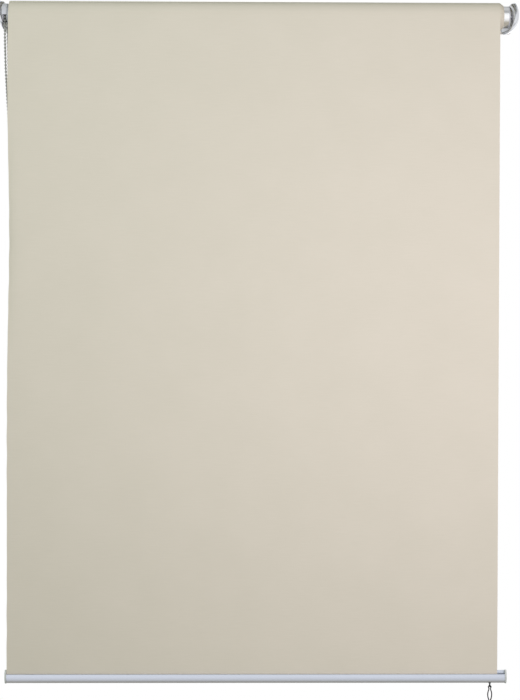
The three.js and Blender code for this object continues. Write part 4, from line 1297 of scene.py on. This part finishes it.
class BLIND_OT_link(bpy.types.Operator):
    """Bends the eye screw and the wire link that hangs from it"""

    bl_idname = "blind.make_link"
    bl_label = "Pull link"

    def execute(self, context):
        link = chosen().link
        underside = low("bottom_rail").z
        eye_low, eye_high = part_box("eye_screw")
        eye = middle("eye_screw")
        eye_drop = underside - (eye_low.z + link.eye_radius + link.eye_wire)
        ring_centre = Vector((eye.x, eye.y, underside - eye_drop))
        ring = []
        for k in range(45):
            turn = pi / 2 + 0.35 + (2 * pi - 0.7) * k / 44
            ring.append(ring_centre + link.eye_radius * Vector((0, cos(turn), sin(turn))))
        collar = high("eye_screw").x - eye.x
        shank_start = link.eye_radius - link.eye_wire / 2
        shank = moved(
            spun(
                [
                    (-eye_drop + shank_start, 0), (-eye_drop + shank_start, link.eye_wire),
                    (-1.1 * MM, link.eye_wire), (-1.1 * MM, collar - 0.25 * MM), (-0.85 * MM, collar),
                    (-0.3 * MM, collar), (-0.3 * MM, link.eye_wire), (eye_high.z - underside, link.eye_wire),
                    (eye_high.z - underside, 0),
                ],
                32,
            ),
            Matrix.Translation((eye.x, eye.y, underside)) @ Matrix.Rotation(-pi / 2, 4, "Y"),
        )
        # Painted reflection: the eye screw is polished steel, and the blackened wire's near-black colour
        # paints in the dark that its shank mirrors.
        add_piece(
            "pull_eye_screw", carved(wire(ring, link.eye_wire, 14), [shank], "UNION"), "bottom_rail",
            "dark_wire", ["eye_screw"],
        )

        link_low, link_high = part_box("pull_link")
        half_wire = (link_high.y - link_low.y) / 2
        half_width = (link_high.x - link_low.x) / 2 - half_wire
        top = link_high.z - half_wire
        long = top - link_low.z - half_wire
        head = link.eye_wire + GAP + link.link_wire
        eye_bottom = top - (ring_centre.z - link.eye_radius - link.eye_wire)
        neck = -eye_bottom - 2.6 * MM
        pinch = 1.3 * MM
        right = [
            (0.6 * head, -0.3 * MM), (head, -0.5 * eye_bottom), (head, -eye_bottom), (pinch, neck),
            (0.72 * half_width, -0.34 * long), (half_width, -0.54 * long), (0.74 * half_width, -0.8 * long),
        ]
        left = [(-x, z) for x, z in reversed(right)]
        at_neck = [z for _, z in left].index(neck)
        outline = [*left[at_neck:], (0, 0), *right, (0, -long), *left[:at_neck], (-pinch, neck - 0.4 * MM)]
        points = [Vector((eye.x + x, eye.y, top + z)) for x, z in outline]
        add_piece(
            "pull_wire_link", wire(smooth_line(points, 0.7 * MM), link.link_wire, 12), "pull_link",
            "dark_wire", ["pull_link"],
        )
        return {"FINISHED"}


# ---- inner CAD pieces


class BLIND_OT_inner(bpy.types.Operator):
    """Gives the CAD pieces that still show their real finishes"""

    bl_idname = "blind.finish_inner"
    bl_label = "Inner pieces"

    def execute(self, context):
        finishes = {
            "clutch_spindle": "bright_steel", "spindle_screw": "bright_steel", "spindle_clip": "spring_steel",
            "clutch_spring": "spring_steel", "spring_stop": "nylon", "fabric_spline": "nylon",
            "hem_rod": "nylon",
        }
        for node, slot in finishes.items():
            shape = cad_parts[node]
            shape.data.materials.clear()
            shape.data.materials.append(material_for(slot))
        return {"FINISHED"}


# ---- add-on

STEPS = [
    BLIND_OT_stage, BLIND_OT_chain, BLIND_OT_sheet, BLIND_OT_roll, BLIND_OT_brackets, BLIND_OT_covers,
    BLIND_OT_drive, BLIND_OT_roller, BLIND_OT_rail, BLIND_OT_link, BLIND_OT_inner,
]


class BLIND_PT_panel(bpy.types.Panel):
    """Lists the steps that build the blind, and the sizes that they use"""

    bl_idname = "BLIND_PT_panel"
    bl_label = "Roller blind"
    bl_space_type = "VIEW_3D"
    bl_region_type = "UI"
    bl_category = "Roller blind"

    def draw(self, context):
        for step in STEPS:
            self.layout.operator(step.bl_idname)
        for group in context.scene.roller_blind.bl_rna.properties:
            if group.type == "POINTER" and group.identifier != "rna_type":
                box = self.layout.box()
                box.label(text=group.identifier.title())
                part = getattr(context.scene.roller_blind, group.identifier)
                for size in part.bl_rna.properties:
                    if size.identifier not in ("rna_type", "name"):
                        box.prop(part, size.identifier)


CLASSES = [
    StageSettings, ClothSettings, CoverSettings, BracketSettings, DriveSettings, ChainSettings,
    RollerSettings, RailSettings, LinkSettings, BlindSettings, *STEPS, BLIND_PT_panel,
]


def register():
    for kind in CLASSES:
        bpy.utils.register_class(kind)
    bpy.types.Scene.roller_blind = PointerProperty(type=BlindSettings)


def unregister():
    del bpy.types.Scene.roller_blind
    for kind in reversed(CLASSES):
        bpy.utils.unregister_class(kind)


def main():
    register()
    for step in STEPS:
        group, name = step.bl_idname.split(".")
        getattr(getattr(bpy.ops, group), name)()


if __name__ == "__main__":
    main()
